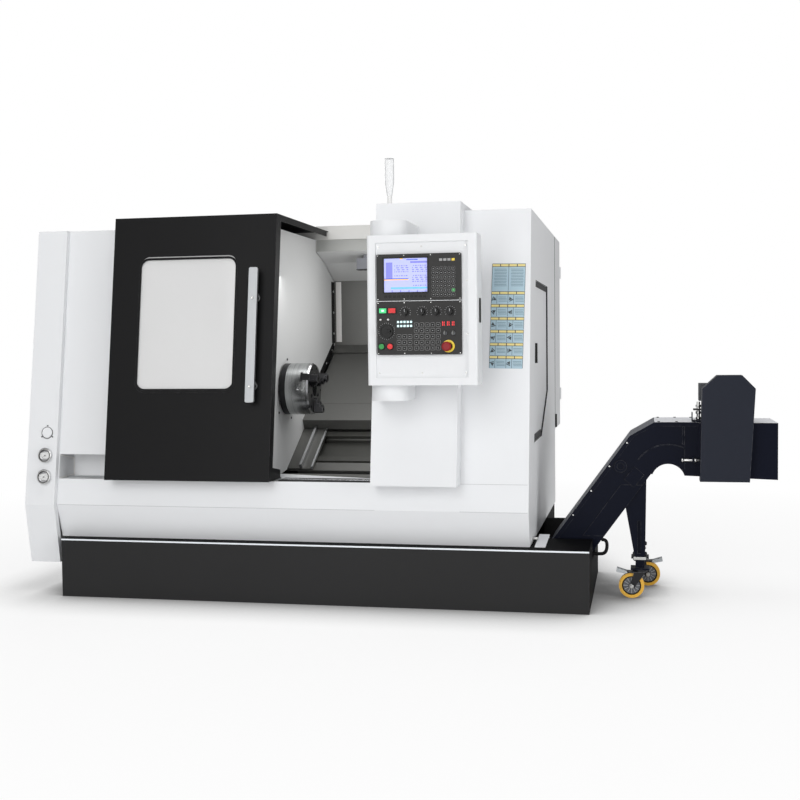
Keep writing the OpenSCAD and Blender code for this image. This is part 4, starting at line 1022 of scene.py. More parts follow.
    def _seams(self) -> None:
        """Fine lines where the front sheets meet."""
        rows = [("seam_sill_right", 1925.0, 2230.0, self.sill_z), ("seam_bend_right", 1925.0, 2230.0, BEND_Z),
                ("seam_bend_left", -30.0, 1535.0, BEND_Z)]
        for name, x0, x1, z in rows:
            line = block(name, Vector(((x1 - x0) * MM, 0.0016, 0.0008)), 0.0002)
            fit(line, SEAM, "frame", on_front((x0 + x1) / 2, z))

    def _chart(self) -> None:
        """A plate of fields in two columns, under header strips."""
        wide, tall = self.chart_size
        base = on_front(*self.chart_at) @ turn(self.chart_lean)

        def spot(u: float, v: float) -> Matrix:
            """A place on the plate, right and up from its middle."""
            return base @ shift(u * MM, v * MM, 0.0012)

        sheet = slab("chart_plate", wide * MM, tall * MM, 0.0012, 0.003)
        fit(sheet, SLATE, "frame", base)
        first = 0.266 * tall
        step = (tall - first) / self.chart_rows
        tops = [tall / 2] + [tall / 2 - first - step * i for i in range(self.chart_rows)]
        back = block("chart_bands", Vector((wide * MM, 0.0150, 0.0003)), 0.0001)
        fit(repeat(back, [spot(0.0, z - 8.0) for z in tops]), LINE, "frame")
        strip = slab("chart_headers", (wide / 4 - 4.0) * MM, 0.0100, 0.0007, 0.001, 0.0001)
        spots = [spot(wide * (i - 1.5) / 4, z - 8.0) for z in tops for i in range(4)]
        fit(repeat(strip, spots), HEADER, "frame")
        tall_line = block("chart_middle", Vector((0.0018, (first - 18.0) * MM, 0.0004)), 0.0001)
        edges = (-wide / 2 + 1, 0.0, wide / 2 - 1)
        fit(repeat(tall_line, [spot(u, tall / 2 - first / 2 - 7.0) for u in edges]), LINE, "frame")
        short = block("chart_cells", Vector((0.0018, (step - 18.0) * MM, 0.0004)), 0.0001)
        columns = (-wide / 2 + 1, -wide * 0.33, 0.0, wide * 0.17, wide / 2 - 1)
        rows = [z - step / 2 - 7.0 for z in tops[1:]]
        fit(repeat(short, [spot(u, z) for z in rows for u in columns]), LINE, "frame")
        self._chart_signs(spot, rows, tall / 2 - 26.0)

    def _chart_signs(self, spot: Callable[[float, float], Matrix], rows: list[float], head: float) -> None:
        """Plain wedges, pegs and rules that fill the chart's fields.

        Args:
            spot: gives a place on the plate from its distances right and up, in millimetres.
            rows: heights of the small fields' middles, in millimetres.
            head: height of the large field's first rule, in millimetres.
        """
        wide = self.chart_size[0]
        small = [(spot(wide * u, z), 61.0 * i + 140.0 * j)
                 for i, z in enumerate(rows) for j, u in enumerate((-0.415, 0.085))]
        wedge = drum("chart_wedges", 0.0100, 0.0006, 0.0001, 3)
        fit(repeat(wedge, [m @ turn(a) @ shift(0.003, 0) for m, a in small]), LINE, "frame")
        peg = block("chart_pegs", Vector((0.020, 0.0036, 0.0007)), 0.0001)
        fit(repeat(peg, [m @ turn(a + 70.0) @ shift(0, 0.006) for m, a in small]), LINE, "frame")
        rule = block("chart_rules", Vector((0.038, 0.0017, 0.0003)), 0.0001)
        places = [spot(wide * u + k, z + 10.0 - 6.5 * k)
                  for z in rows for u in (-0.17, 0.33) for k in range(4)]
        fit(repeat(rule, places), FADED, "frame")
        long_rule = block("chart_long_rules", Vector((0.056, 0.0018, 0.0003)), 0.0001)
        places = [spot(wide * u + k % 3, head - 7.0 * k) for u in (-0.25, 0.25) for k in range(12)]
        fit(repeat(long_rule, places), FADED, "frame")

    def _cabinet(self) -> None:
        """Cabinet seam, foot bracket, and the door's turn latches and rim."""
        line = block("cabinet_seam", Vector((0.006, 1.09, 0.0012)), 0.0003)
        fit(line, GAP, "frame", on_side(1640.5, self.cabinet_middle[1]))
        bracket = slab("cabinet_bracket", 0.022, 0.075, 0.01, 0.004)
        fit(bracket, PLASTIC, "frame", on_side(1645.0, 745.0))
        latch = drum("cabinet_latches", 0.016, 0.007, 0.0015, 28, dish=(0.004, 0.003))
        spots = [on_back(self.latch_x, z, self.cabinet_back) for z in self.latch_heights]
        fit(repeat(latch, spots), BLACKED, "cabinet_door")
        wing = slab("cabinet_wings", 0.006, 0.024, 0.009, 0.002)
        spots = [m @ shift(0, 0, 0.0037) for m in spots]
        fit(repeat(wing, spots), BLACKED, "cabinet_door")
        rim = hoop("cabinet_door_rim", 0.94, 1.05, 0.02, 0.006, 0.0012)
        fit(rim, SEAM, "cabinet_door", on_back(*self.cabinet_middle, self.cabinet_back))


@dataclass
class SlidingDoor:
    """Black sliding door with window and handle."""

    proud: float = 86.0
    window: tuple[float, float, float, float] = (387.0, 866.0, 980.0, 1605.0)
    corner: float = 42.0
    handle_x: float = 968.0
    handle_out: float = 56.6
    handle_ends: tuple[float, float] = (1004.0, 1411.0)
    seal: float = 7.0

    def dress(self) -> None:
        """Paints the shell, glass and handle."""
        dress("door_shell", [DOOR])
        dress("door_window", [GLASS])
        dress("door_handle", [HANDLE])

    def build(self) -> None:
        """Adds the window's seal, and the handle's screws and feet."""
        x0, x1, z0, z1 = self.window
        wide = (x1 - x0 + 2 * self.seal) * MM
        tall = ((z1 - z0) / math.cos(SLOPE) + 2 * self.seal) * MM
        seal = hoop("window_seal", wide, tall, (self.corner + self.seal) * MM, 0.011, 0.0018, 0.0005)
        fit(seal, DOOR, "door", on_front((x0 + x1) / 2, (z0 + z1) / 2, self.proud))
        screw = cap_screw("handle_screws", 0.006)
        spots = [on_front(self.handle_x, z, self.proud + self.handle_out) for z in self.handle_ends]
        fit(repeat(screw, spots), ZINC, "door")
        foot = ring("handle_feet", 0.019, 0.0132, 0.004, 0.001)
        spots = [on_front(self.handle_x, z, self.proud) for z in self.handle_ends]
        fit(repeat(foot, spots), ALUMINIUM, "door")


@dataclass
class Pendant:
    """Control pendant with display, keys, dials and its grip."""

    left: float = 1575.0
    front: float = -240.0
    foot: float = 1014.0
    width: float = 475.0
    unit_x: float = 44.0
    unit_out: float = 6.0
    display_y: float = 360.0
    panel_y: float = 130.0
    knobs: tuple[float, ...] = (124.0, 197.0, 257.0, 317.0)
    knob_y: float = 181.0
    key_pitch: tuple[float, float] = (17.0, 18.4)
    button_pitch: tuple[float, float] = (23.6, 24.5)
    screen_at: tuple[float, float] = (126.5, 107.5)
    screen_size: tuple[float, float] = (186.6, 142.6)
    screen_cells: tuple[int, int] = (46, 34)
    screws: tuple[tuple[float, float], ...] = ((50, 588), (237, 588), (425, 588), (432, 440), (432, 215),
                                               (50, 52), (237, 52), (425, 52), (43, 440), (43, 215))

    def spot(self, u: float, v: float, out: float = 0.0) -> Matrix:
        """A place on the pendant's face: right, up and out, in millimetres."""
        return on_near(self.left + u, self.foot + v, self.front - out)

    def on_display(self, u: float, v: float, out: float = 0.0) -> Matrix:
        """A place on the display unit's face."""
        return self.spot(self.unit_x + u, self.display_y + v, self.unit_out + out)

    def on_panel(self, u: float, v: float, out: float = 0.0) -> Matrix:
        """A place on the operator panel's face."""
        return self.spot(self.unit_x + u, self.panel_y + v, self.unit_out + out)

    def dress(self) -> None:
        """Paints the case, both units and the controls."""
        dress("pendant_case", [WHITE])
        dress("display_unit", [PLASTIC, KEY, YELLOW, GREEN, SOFTKEY], self._display_face)
        dress("operator_panel", [PLASTIC, KEY, LED_LIT, RED_LIT, HUB], self._panel_face)
        for node, finish in (("estop", ESTOP), ("start_button", GREEN), ("stop_button", RED),
                             ("power_on_button", GREEN_LIT), ("power_off_button", RED)):
            dress(node, [finish])
        for node in ("mode_knob", "feed_knob", "rapid_knob", "speed_knob", "handwheel"):
            dress(node, [KEY])

    def _display_face(self, c: Vector, n: Vector) -> int:
        """Picks the finish of a display unit's face."""
        u, v, out = c.x - self.left - self.unit_x, c.z - self.foot - self.display_y, self.front - c.y
        if out < self.unit_out + 0.2 or u < 30:
            return 0
        if v > 160:
            return 2 if u > 322 else 4
        if u > 324 and 30 < v < 52:
            return 3
        return 1

    def _panel_face(self, c: Vector, n: Vector) -> int:
        """Picks the finish of an operator panel's face."""
        u, v, out = c.x - self.left - self.unit_x, c.z - self.foot - self.panel_y, self.front - c.y
        if out < self.unit_out + 0.2:
            return 0
        if v > 116 and u < 160:
            return 2
        if 278 < u < 350 and 118 < v < 142:
            return 0
        return 4 if 280 < u < 345 and 78 < v < 102 else 1

    def build(self) -> None:
        """Adds screen, screws, key marks, dial scales, digits, collar, key switches and grip."""
        self._screen()
        self._screws()
        self._marks()
        self._controls()
        self._grip()

    def _screen(self) -> None:
        """A lit page of plain fields and bands."""
        clear_selection()
        cols, rows = self.screen_cells
        wide, tall = self.screen_size
        bpy.ops.mesh.primitive_grid_add(x_subdivisions=cols, y_subdivisions=rows, size=1.0)
        bpy.context.object.scale = (wide * MM, tall * MM, 1.0)
        ob = begin("screen_page")
        pick_faces(ob, lambda p: True)
        bpy.ops.mesh.extrude_region_move(TRANSFORM_OT_translate={"value": (0, 0, 0.0006)})
        bpy.ops.object.mode_set(mode="OBJECT")
        middle = self.on_display(*self.screen_at, -2.9)
        fit(ob, PAGE, "pendant", middle)
        for finish in (SHADE, BAND, CYAN, AMBER):
            ob.data.materials.append(finish.material())
        for poly in ob.data.polygons:
            d = (poly.center - middle.translation) / MM
            col, row = (d.x / wide + 0.5) * cols, (d.z / tall + 0.5) * rows
            poly.material_index = self._field(int(col), int(row))

    @staticmethod
    def _field(col: int, row: int) -> int:
        """Picks a screen cell's finish by column and row."""
        if row == 32 and 24 <= col < 36 or row == 13 and col < 26:
            return 2
        if row in (3, 4) and col > 6:
            return 3
        if row == 12 and col < 26 or row == 33 and 17 <= col < 20:
            return 4
        if 14 <= row < 30 and 2 <= col < 9 or row in (29, 30) and col > 27 or row in (0, 1) and col % 9 == 8:
            return 1
        ink = (col * 7 + row * 13 + col * row) % 5
        if row % 2 == 0 and (11 <= col < 26 and 14 < row < 30 or col > 29 and 5 < row < 28) and ink < 3:
            return 1
        return 0

    def _screws(self) -> None:
        """Screws of the inset plate and both units, the screen's bezel and the line between the units."""
        screw = pan_screw("pendant_screws", 0.0042)
        fit(repeat(screw, [self.spot(u, v, -8.0) for u, v in self.screws]), ZINC, "pendant")
        small = pan_screw("unit_screws", 0.0022)
        spots = [self.spot(self.unit_x + u, v, self.unit_out)
                 for u in (6.0, 120.0, 235.0, 359.0) for v in (366.0, 551.0, 136.0, 351.0)]
        fit(repeat(small, spots), ZINC, "pendant")
        bezel = hoop("screen_bezel", 0.2, 0.156, 0.004, 0.0065, 0.002, 0.0008)
        fit(bezel, KEY, "pendant", self.on_display(*self.screen_at))
        strip = block("unit_joint", Vector((0.362, 0.0024, 0.003)), 0.0005)
        fit(strip, ALUMINIUM, "pendant", self.spot(self.unit_x + 182.5, 358.5, 0.0))

    def _marks(self) -> None:
        """Small plain marks on the keys, and the scales round the knobs."""
        mark = block("key_marks", Vector((0.0042, 0.0016, 0.0003)), 0.0001)
        proud = 1.5
        dx, dy = self.key_pitch
        keys = [self.on_display(246.5 + dx * i, 22.5 + dy * j, proud) for i in range(6) for j in range(7)]
        dx, dy = self.button_pitch
        buttons = [self.on_panel(x + dx * i, 28 + dy * j, proud)
                   for x, count in ((171, 5), (96, 3)) for i in range(count) for j in range(count)]
        fit(repeat(mark, keys + buttons), MARK, "pendant")
        down = shift(0, 0, -proud * MM)
        small = hoop("key_outlines", 0.0148, 0.0148, 0.003, 0.0012, 0.0005, 0.0001)
        fit(repeat(small, [m @ down for m in keys]), RIM, "pendant")
        large = hoop("button_outlines", 0.0188, 0.0188, 0.003, 0.0014, 0.0005, 0.0001)
        fit(repeat(large, [m @ down for m in buttons]), RIM, "pendant")
        tick = block("dial_marks", Vector((0.0011, 0.0034, 0.0003)), 0.0001)
        around = [self.on_panel(x, self.knob_y) @ turn(a) @ shift(0, 0.0225)
                  for x in self.knobs for a in range(-120, 121, 24)]
        around += [self.on_panel(42, 101) @ turn(a) @ shift(0, 0.0345) for a in range(0, 360, 15)]
        fit(repeat(tick, around), MARK, "pendant")
        pointer = block("knob_lines", Vector((0.0016, 0.012, 0.0004)), 0.0001)
        for name, x in zip(("mode_knob", "feed_knob", "rapid_knob", "speed_knob"), self.knobs):
            fit(copy_of(pointer, name + "_line"), MARK, name,
                self.on_panel(x, self.knob_y, 20.3) @ shift(0, 0.006))
        bpy.data.objects.remove(pointer)

    def _controls(self) -> None:
        """E-stop collar, button rims, the lit core, red digits, key switches and the two toggles."""
        collar = ring("estop_collar", 0.0265, 0.0165, 0.003, 0.001)
        fit(collar, YELLOW, "pendant", self.on_panel(309.0, 35.0))
        rim = ring("button_rims", 0.0155, 0.0119, 0.004, 0.001)
        fit(repeat(rim, [self.on_panel(u, 36) for u in (20, 57)]), KEY, "pendant")
        oblong = hoop("power_rims", 0.037, 0.027, 0.003, 0.003, 0.004, 0.0008)
        fit(repeat(oblong, [self.on_panel(u, 188) for u in (27, 67)]), KEY, "pendant")
        core = slab("power_core", 0.011, 0.008, 0.0005, 0.003, 0.0002)
        fit(core, CORE, "power_on_button", self.on_panel(27, 188, 7.0))
        bar = block("red_digits", Vector((0.0022, 0.0085, 0.0004)), 0.0002)
        bars = [self.on_panel(284 + 7.0 * i, 125.5 + 9.5 * j, 2.0)
                for i in range(9) for j in range(2) if i % 3 != 2]
        fit(repeat(bar, bars), RED_LIT, "pendant")
        blade = slab("switch_keys", 0.004, 0.016, 0.012, 0.001)
        fit(repeat(blade, [self.on_panel(u, 92.0, 7.0) for u in (295.0, 330.0)]), GUARD, "pendant")
        toggle = drum("toggles", 0.0045, 0.012, 0.001, 20, top=0.0032)
        fit(repeat(toggle, [self.on_panel(u, 150.0) for u in (17.0, 50.0)]), DIAL, "pendant")

    def _grip(self) -> None:
        """Black grip on the pendant's right side."""
        grip = slab("pendant_grip", 0.030, 0.105, 0.005, 0.008, 0.002)
        side = on_side(-170.0, 1330.0, self.left + self.width)
        fit(grip, PLASTIC, "pendant", side)


@dataclass
class WorkArea:
    """Working area with lamp, wipers, chuck and carriage."""

    wall_x: float = 984.0
    hood_y: float = 1066.0
    chuck_face: float = 1135.0
    screws: tuple[tuple[float, float], ...] = ((505.0, 1121.0), (559.0, 825.0), (358.0, 862.0))

    def dress(self) -> None:
        """Finishes the solids in the working area and the drive."""
        dress("end_walls", [INNER])
        dress("back_guard", [GUARD, GROUND], self._rib_face)
        dress("way_cover", [GUARD])
        dress("way_rails", [GROUND, TRAY, HOOD], lambda c, n: 2 if c.z > 1600 else 1 if c.y > 250 else 0)
        dress("work_lamp", [HOUSING, LAMP], lambda c, n: 1 if n.z < -0.5 and c.z < 1610 else 0)
        dress("bed", [CASTING, TRAY], lambda c, n: 1 if square_to_bed(n.y, n.z) > 0.95 else 0)
        for node in ("headstock", "saddle", "cross_slide", "tailstock"):
            dress(node, [CASTING])
        for node in ("spindle_bearings", "z_screw", "quill", "turret_disc", "motor_pulley"):
            dress(node, [GROUND])
        dress("spindle", [BLACKED])
        # The chuck's rim takes the steel with painted reflection bands.
        dress("chuck", [CHUCK_STEEL_AND_REFLECTION, FACE, CHROME], lambda c, n: 1 if n.x > 0.9 else 2 if n.x > 0.2 else 0)
        for node in ("jaw_1", "jaw_2", "jaw_3"):
            dress(node, [BLACKED])
        dress("spindle_motor", [MOTOR])
        dress("drive_belt", [RUBBER])
        dress("signal_light", [CLEAR, DIAL], lambda c, n: 1 if c.z < 1890 else 0)

    @staticmethod
    def _rib_face(c: Vector, n: Vector) -> int:
        """Bright steel for the two ribs at the spindle's end, dark sheet for the rest."""
        height = square_to_bed(c.y - AXIS_Y, c.z - AXIS_Z)
        return 1 if c.x < 1120 and -349.5 < height < -325 else 0

    def build(self) -> None:
        """Adds wall strips, sill mat, screws, the lintel's painted shade plate and the lamp's frame."""
        self._wall_strip()
        self._sill()
        self._chuck_screws()
        self._lamp()

    def _wall_strip(self) -> None:
        """Rubber wiper strips with their screws along the left wall's rear edge, and a bright strip."""
        inner = on_side(1400.0, 1378.0, self.wall_x)
        fit(block("wiper_upright", Vector((0.05, 0.35, 0.004)), 0.001), RUBBER, "frame", inner)
        run = Vector((0, math.cos(SLANT), math.sin(SLANT)))
        low = axes(on_bed(self.wall_x, 640.0, -280.0).translation, run, Vector((0, -run.z, run.y)))
        fit(block("wiper_slant", Vector((0.56, 0.04, 0.004)), 0.001), RUBBER, "frame", low)
        screw = pan_screw("wiper_screws", 0.006)
        spots = [inner @ shift(0, d * MM, 0.004) for d in (-120, 0, 120)]
        spots += [low @ shift(d * MM, 0, 0.004) for d in (-220, -75, 75, 220)]
        fit(repeat(screw, spots), ZINC, "frame")
        strip = block("bright_strip", Vector((0.032, 0.345, 0.003)), 0.001)
        fit(strip, BRIGHT_STEEL_AND_HIGHLIGHT, "frame", on_near(1010.0, 1382.0, 1439.0))

    def _sill(self) -> None:
        """Dark drip mat on the sill of the opening, and small screws on the left wall."""
        mat = block("sill_mat", Vector((0.472, 0.142, 0.0015)), 0.0004)
        fit(mat, RUBBER, "frame", on_top(1297.0, 131.0, 560.0))
        screw = pan_screw("wall_screws", 0.006)
        spots = [on_side(y, z, self.wall_x) for y, z in self.screws]
        fit(repeat(screw, spots), BLACKED, "frame")

    def _chuck_screws(self) -> None:
        """Socket screws of the chuck's face."""
        screw = cap_screw("chuck_screws", 0.008)
        face = on_side(AXIS_Y, AXIS_Z, self.chuck_face)
        spots = [face @ turn(a) @ shift(0.062, 0, -0.004) for a in (90, 210, 330)]
        fit(repeat(screw, spots), BLACKED, "spindle")

    def _lamp(self) -> None:
        """A plate of painted shade on the hood's front over the opening, and the frame round the lamp's
        diffuser.
        """
        lintel = block("lintel_shade", Vector((0.540, 0.062, 0.003)), 0.0006)
        fit(lintel, SOFFIT_SHADE, "frame", on_near(1260.0, 1732.0, self.hood_y))
        down = axes(place(1248.0, self.hood_y + 70.0, 1604.0), Vector((1, 0, 0)), Vector((0, -1, 0)))
        fit(hoop("lamp_frame", 0.1, 0.064, 0.006, 0.008, 0.005, 0.001), BLACKED, "frame", down)


@dataclass
class Conveyor:
    """Chip conveyor with its drive, legs and casters."""

    near_y: float = 360.0
    deck_z: float = 821.0
    rise: float = math.radians(54.0)
    limiter: tuple[float, float] = (2978.0, 395.0)
    leg_x: float = 2715.0
    axle_z: float = 58.0
    tyre_inner: float = 43.0
    wheels: tuple[tuple[str, float, float], ...] = (("near", 2677.0, 392.0), ("far", 2753.0, 688.0))

    def dress(self) -> None:
        """Paints the conveyor and finishes the casters."""
        dress("conveyor_trough", [CONVEYOR])
        dress("conveyor_head", [CONVEYOR, LID], lambda c, n: 1 if n.z > 0.9 and c.z > 810 else 0)
        dress("conveyor_lid", [CONVEYOR, LID, FOLD], lambda c, n: 1 if n.z > 0.9 else 2 if n.z > 0.3 else 0)
        dress("chain_guard", [COVER])
        dress("conveyor_motor", [MOTOR, CONVEYOR], lambda c, n: 1 if c.z < 831 else 0)
        dress("conveyor_belt", [GROUND])
        dress("drive_shaft", [GROUND])
        for side, x, y in self.wheels:
            dress("caster_wheel_" + side, [TYRE, HUB], self._wheel_rule(x))
            dress("caster_fork_" + side, [BLACKED, PEDAL], self._pedal_rule(x))

    def _wheel_rule(self, x: float) -> Rule:
        """Tyre or hub by distance from the axle."""
        return lambda c, n: 0 if math.hypot(c.x - x, c.z - self.axle_z) > self.tyre_inner else 1

    def _pedal_rule(self, x: float) -> Rule:
        """Grey for the brake pedal, black for the rest of a fork."""
        side = 1.0 if x > self.leg_x else -1.0
        return lambda c, n: 1 if (c.x - self.leg_x) * side > 52.0 and c.z > 105.0 else 0

    def build(self) -> None:
        """Adds screws, tension bolt, torque limiter, leg clamps and caster fittings."""
        screw = pan_screw("lid_screws", 0.004)
        spots = [on_near(x, z, self.near_y - 3.0) for x, z in self._lid_line()]
        fit(repeat(screw, spots), ZINC, "frame")
        top = pan_screw("lid_top_screws", 0.006)
        spots = [on_top(x, y, self.deck_z) for x in (2800.0, 2880.0, 2955.0) for y in (378.0, 702.0)]
        fit(repeat(top, spots), BLACKED, "frame")
        self._drive_fittings()
        self._leg_clamps()
        self._caster_fittings()

    def _drive_fittings(self) -> None:
        """Tension bolt beside the chain guard and the torque limiter's stud behind it."""
        bolt = on_side(self.near_y - 13.0, 648.0, 2910.0)
        fit(drum("tension_bolt", 0.0055, 0.071, 0.001, 24), ZINC, "frame", bolt)
        nut = hex_nut("tension_nuts", 0.010)
        fit(repeat(nut, [bolt @ shift(0, 0, z) for z in (-0.008, 0.05)]), ZINC, "frame")
        lug = slab("tension_lug", 0.03, 0.028, 0.008, 0.003)
        fit(lug, CONVEYOR, "frame", bolt @ shift(0, 0, 0.040))
        x, y = self.limiter
        foot = block("limiter_foot", Vector((0.05, 0.06, 0.008)), 0.001)
        fit(foot, CONVEYOR, "frame", on_top(x, y, self.deck_z))
        stud = drum("limiter_stud", 0.008, 0.085, 0.001, 24)
        fit(stud, ZINC, "frame", on_top(x, y, 828.0))
        nut = hex_nut("limiter_nuts", 0.014)
        fit(repeat(nut, [on_top(x, y, z) for z in (832.0, 858.0, 888.0)]), ZINC, "frame")
        lever = slab("limiter_lever", 0.075, 0.03, 0.008, 0.010)
        fit(lever, BLACKED, "frame", on_top(x + 14.0, y, 874.0))
        upright = slab("limiter_upright", 0.05, 0.045, 0.004, 0.004)
        fit(upright, CONVEYOR, "frame", on_side(y, 843.0, x - 30.0))

    def _leg_clamps(self) -> None:
        """Zinc clamp plates with bolts where the casters' posts leave the legs."""
        plates, bolts = [], []
        for _, _, y in self.wheels:
            plates.append(on_near(self.leg_x, 187.0, y - 20.0))
            for side in (-1.0, 1.0):
                x = self.leg_x + side * 23.0
                bolts += [axes(place(x, y + d, 205.0), Vector((0, side, 0)), Vector((0, 0, 1)))
                          for d in (-10.0, 10.0)]
        clamp = slab("leg_clamps", 0.058, 0.013, 0.004, 0.002)
        fit(repeat(clamp, plates), ZINC, "frame")
        fit(repeat(hex_nut("leg_bolts", 0.009), bolts), BLACKED, "frame")

    def _caster_fittings(self) -> None:
        """Axle nuts on the forks, and black rings and ribs on the wheels."""
        nut = hex_nut("caster_nuts", 0.011)
        band = ring("caster_bands", 0.0438, 0.0385, 0.002, 0.0005)
        rib = block("caster_ribs", Vector((0.0028, 0.021, 0.002)), 0.0005)
        for side, x, y in self.wheels:
            axle = on_near(x, self.axle_z, y - 28.0)
            faces = [on_near(x, self.axle_z, y - 11.0), on_back(x, self.axle_z, y + 11.0)]
            ribs = [m @ turn(30 * i) @ shift(0, 0.0265) for m in faces for i in range(12)]
            self._copy(nut, "axle_nut_" + side, [axle], ZINC, "caster_" + side, "ground_steel")
            self._copy(band, "hub_band_" + side, faces, RUBBER, "wheel_" + side, "belt_rubber")
            self._copy(rib, "hub_ribs_" + side, ribs, ALUMINIUM, "wheel_" + side, "handle_aluminium")
        for pattern in (nut, band, rib):
            bpy.data.objects.remove(pattern)

    @staticmethod
    def _copy(pattern: bpy.types.Object, name: str, places: Sequence[Matrix], finish: Finish, body: str,
              slot: str) -> None:
        """Sets copies of a pattern on one body.

        Args:
            pattern: the piece that is copied.
            name: name of the joined copies.
            places: where the copies go.
            finish: their finish.
            body: the body that they ride on.
            slot: the record's material slot; not used.
        """
        fit(repeat(copy_of(pattern, name), places), finish, body)

    def _lid_line(self) -> list[tuple[float, float]]:
        """Places of the lid's side screws along the rising edge."""
        foot = 2497.0 - 178.0 / math.sin(self.rise)
        heights = (270.0, 385.0, 500.0, 615.0, 725.0)
        return [(foot + (z - 212.0) / math.tan(self.rise) + 8.0, z) for z in heights]


@dataclass(frozen=True)
class Lamp:
    """A square soft lamp that looks at a target."""

    name: str
    eye: tuple[float, float, float]
    target: tuple[float, float, float]
    size: float
    power: float

    def build(self) -> None:
        """Adds the lamp to the scene."""
        data = bpy.data.lights.new(self.name, "AREA")
        data.shape = "SQUARE"
        data.size = self.size
        data.energy = self.power
        lamp = bpy.data.objects.new(self.name, data)
        bpy.context.scene.collection.objects.link(lamp)
        lamp.location = self.eye
        ahead = Vector(self.target) - Vector(self.eye)
        lamp.rotation_euler = ahead.to_track_quat("-Z", "Y").to_euler()


MIDDLE = (0.2, 0.0, 0.8)
LAMPS = (Lamp("key_lamp", (-0.9, -8.6, 4.2), MIDDLE, 5.0, 260.0),
         Lamp("fill_lamp", (6.2, -3.2, 1.3), MIDDLE, 2.6, 118.0),
         Lamp("top_lamp", (0.2, -0.4, 6.2), MIDDLE, 4.0, 125.0),
         Lamp("rear_lamp", (-3.2, 6.0, 4.4), MIDDLE, 3.5, 130.0),
         Lamp("low_lamp", (-0.4, -7.0, 0.8), (0.0, 0.0, 0.45), 1.4, 42.0),
         Lamp("inner_lamp", (0.33, -0.05, 1.34), (-0.27, -0.12, 1.1), 0.8, 3.9),
         Lamp("chuck_lamp", (-0.13, -0.45, 1.50), (-0.165, -0.31, 0.975), 0.25, 0.4))


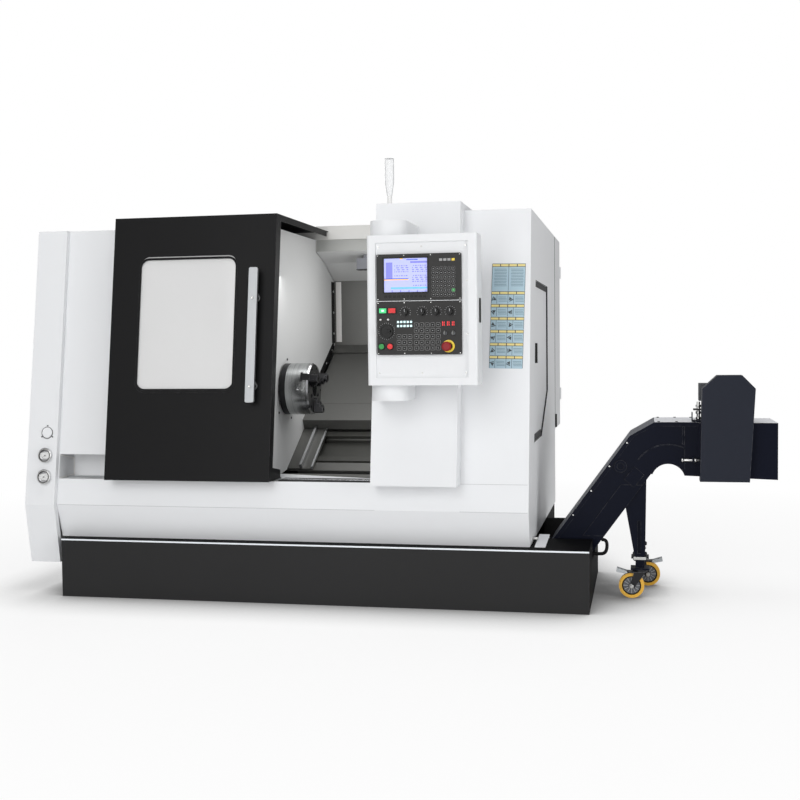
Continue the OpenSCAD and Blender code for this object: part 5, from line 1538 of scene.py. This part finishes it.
@dataclass
class Studio:
    """Pale floor, soft light and the photograph's viewpoint."""

    eye: Vector = field(default_factory=lambda: Vector((1.4825, -5.9041, 1.1792)))
    yaw: float = 0.2054
    pitch: float = 0.0456
    roll: float = -0.0105
    focal_px: float = 1170.38
    frame_px: float = 800.0
    sensor: float = 36.0
    ambient: float = 0.40
    floor_size: float = 60.0
    floor_color: Color = (0.86, 0.86, 0.86)
    fade: tuple[float, float, float] = (1.8, 4.6, 0.78)
    # Reach and range of the painted contact shadow that occlusion paints into the floor's glow.
    shadow_reach: float = 0.42
    painted_shadow_range: tuple[float, float, float] = (0.42, 0.98, 0.10)

    def build(self) -> None:
        """Sets the camera, lamps, world and floor."""
        self._camera()
        self._world()
        self._floor()
        for lamp in LAMPS:
            lamp.build()

    def _camera(self) -> None:
        """Places the camera at the photograph's viewpoint."""
        data = bpy.data.cameras.new("viewpoint")
        data.sensor_width = self.sensor
        data.lens = self.focal_px / self.frame_px * self.sensor
        data.clip_end = 100.0
        camera = bpy.data.objects.new("viewpoint", data)
        bpy.context.scene.collection.objects.link(camera)
        cy, sy = math.cos(self.yaw), math.sin(self.yaw)
        cp, sp = math.cos(self.pitch), math.sin(self.pitch)
        ahead = Vector((-sy * cp, cy * cp, -sp))
        right = Vector((cy, sy, 0))
        up = right.cross(ahead)
        cr, sr = math.cos(self.roll), math.sin(self.roll)
        x_axis = right * cr + up * sr
        y_axis = up * cr - right * sr
        matrix = Matrix((x_axis, y_axis, -ahead)).transposed().to_4x4()
        matrix.translation = self.eye
        camera.matrix_world = matrix
        bpy.context.scene.camera = camera

    @staticmethod
    def _seen(tree: bpy.types.NodeTree) -> bpy.types.NodeSocket:
        """One where a ray comes from the camera or through a clear surface."""
        path = tree.nodes.new("ShaderNodeLightPath")
        return math_node(tree, "MAXIMUM", path.outputs["Is Camera Ray"], path.outputs["Is Transmission Ray"])

    def _world(self) -> None:
        """White background with a softer even light."""
        world = bpy.data.worlds.new("studio")
        world.use_nodes = True
        tree = world.node_tree
        ground = tree.nodes["Background"]
        ground.inputs["Color"].default_value = (1.0, 1.0, 1.0, 1.0)
        strength = range_node(tree, self._seen(tree), 0.0, 1.0, self.ambient, 1.0)
        tree.links.new(strength, ground.inputs["Strength"])
        bpy.context.scene.world = world
        bpy.context.scene.view_settings.view_transform = "Standard"

    def _floor(self) -> None:
        """A pale floor that keeps the machine's shadow, darkens its glow by occlusion into a painted contact
        shadow, and fades into the background.
        """
        clear_selection()
        bpy.ops.mesh.primitive_plane_add(size=self.floor_size, location=(0, 0, -0.0005))
        floor = begin("studio_floor")
        mat = bpy.data.materials.new("studio floor")
        mat.use_nodes = True
        tree = mat.node_tree
        shader = tree.nodes["Principled BSDF"]
        shader.inputs["Base Color"].default_value = (*self.floor_color, 1.0)
        shader.inputs["Roughness"].default_value = 0.9
        glow = tree.nodes.new("ShaderNodeEmission")
        coord = tree.nodes.new("ShaderNodeTexCoord")
        away = tree.nodes.new("ShaderNodeVectorMath")
        away.operation = "LENGTH"
        tree.links.new(coord.outputs["Object"], away.inputs[0])
        fade = range_node(tree, away.outputs["Value"], *self.fade, 1.0)
        # Occlusion darkens the floor's glow next to the machine: a painted contact shadow.
        occlusion = tree.nodes.new("ShaderNodeAmbientOcclusion")
        occlusion.samples = 16
        occlusion.inputs["Distance"].default_value = self.shadow_reach
        painted_shadow = range_node(tree, occlusion.outputs["AO"], *self.painted_shadow_range, 1.0)
        tree.links.new(painted_shadow, glow.inputs["Strength"])
        mix = tree.nodes.new("ShaderNodeMixShader")
        tree.links.new(math_node(tree, "MULTIPLY", self._seen(tree), fade), mix.inputs[0])
        tree.links.new(shader.outputs[0], mix.inputs[1])
        tree.links.new(glow.outputs[0], mix.inputs[2])
        tree.links.new(mix.outputs[0], tree.nodes["Material Output"].inputs["Surface"])
        floor.data.materials.append(mat)


def main() -> None:
    """Builds the machine's sub-assemblies in order."""
    logging.basicConfig(level=logging.INFO, format="%(message)s")
    Studio().build()
    for assembly in (Base(), Enclosure(), SlidingDoor(), Pendant(), WorkArea(), Conveyor()):
        assembly.dress()
        assembly.build()
        log.info("built %s", type(assembly).__name__)


if __name__ == "__main__":
    main()
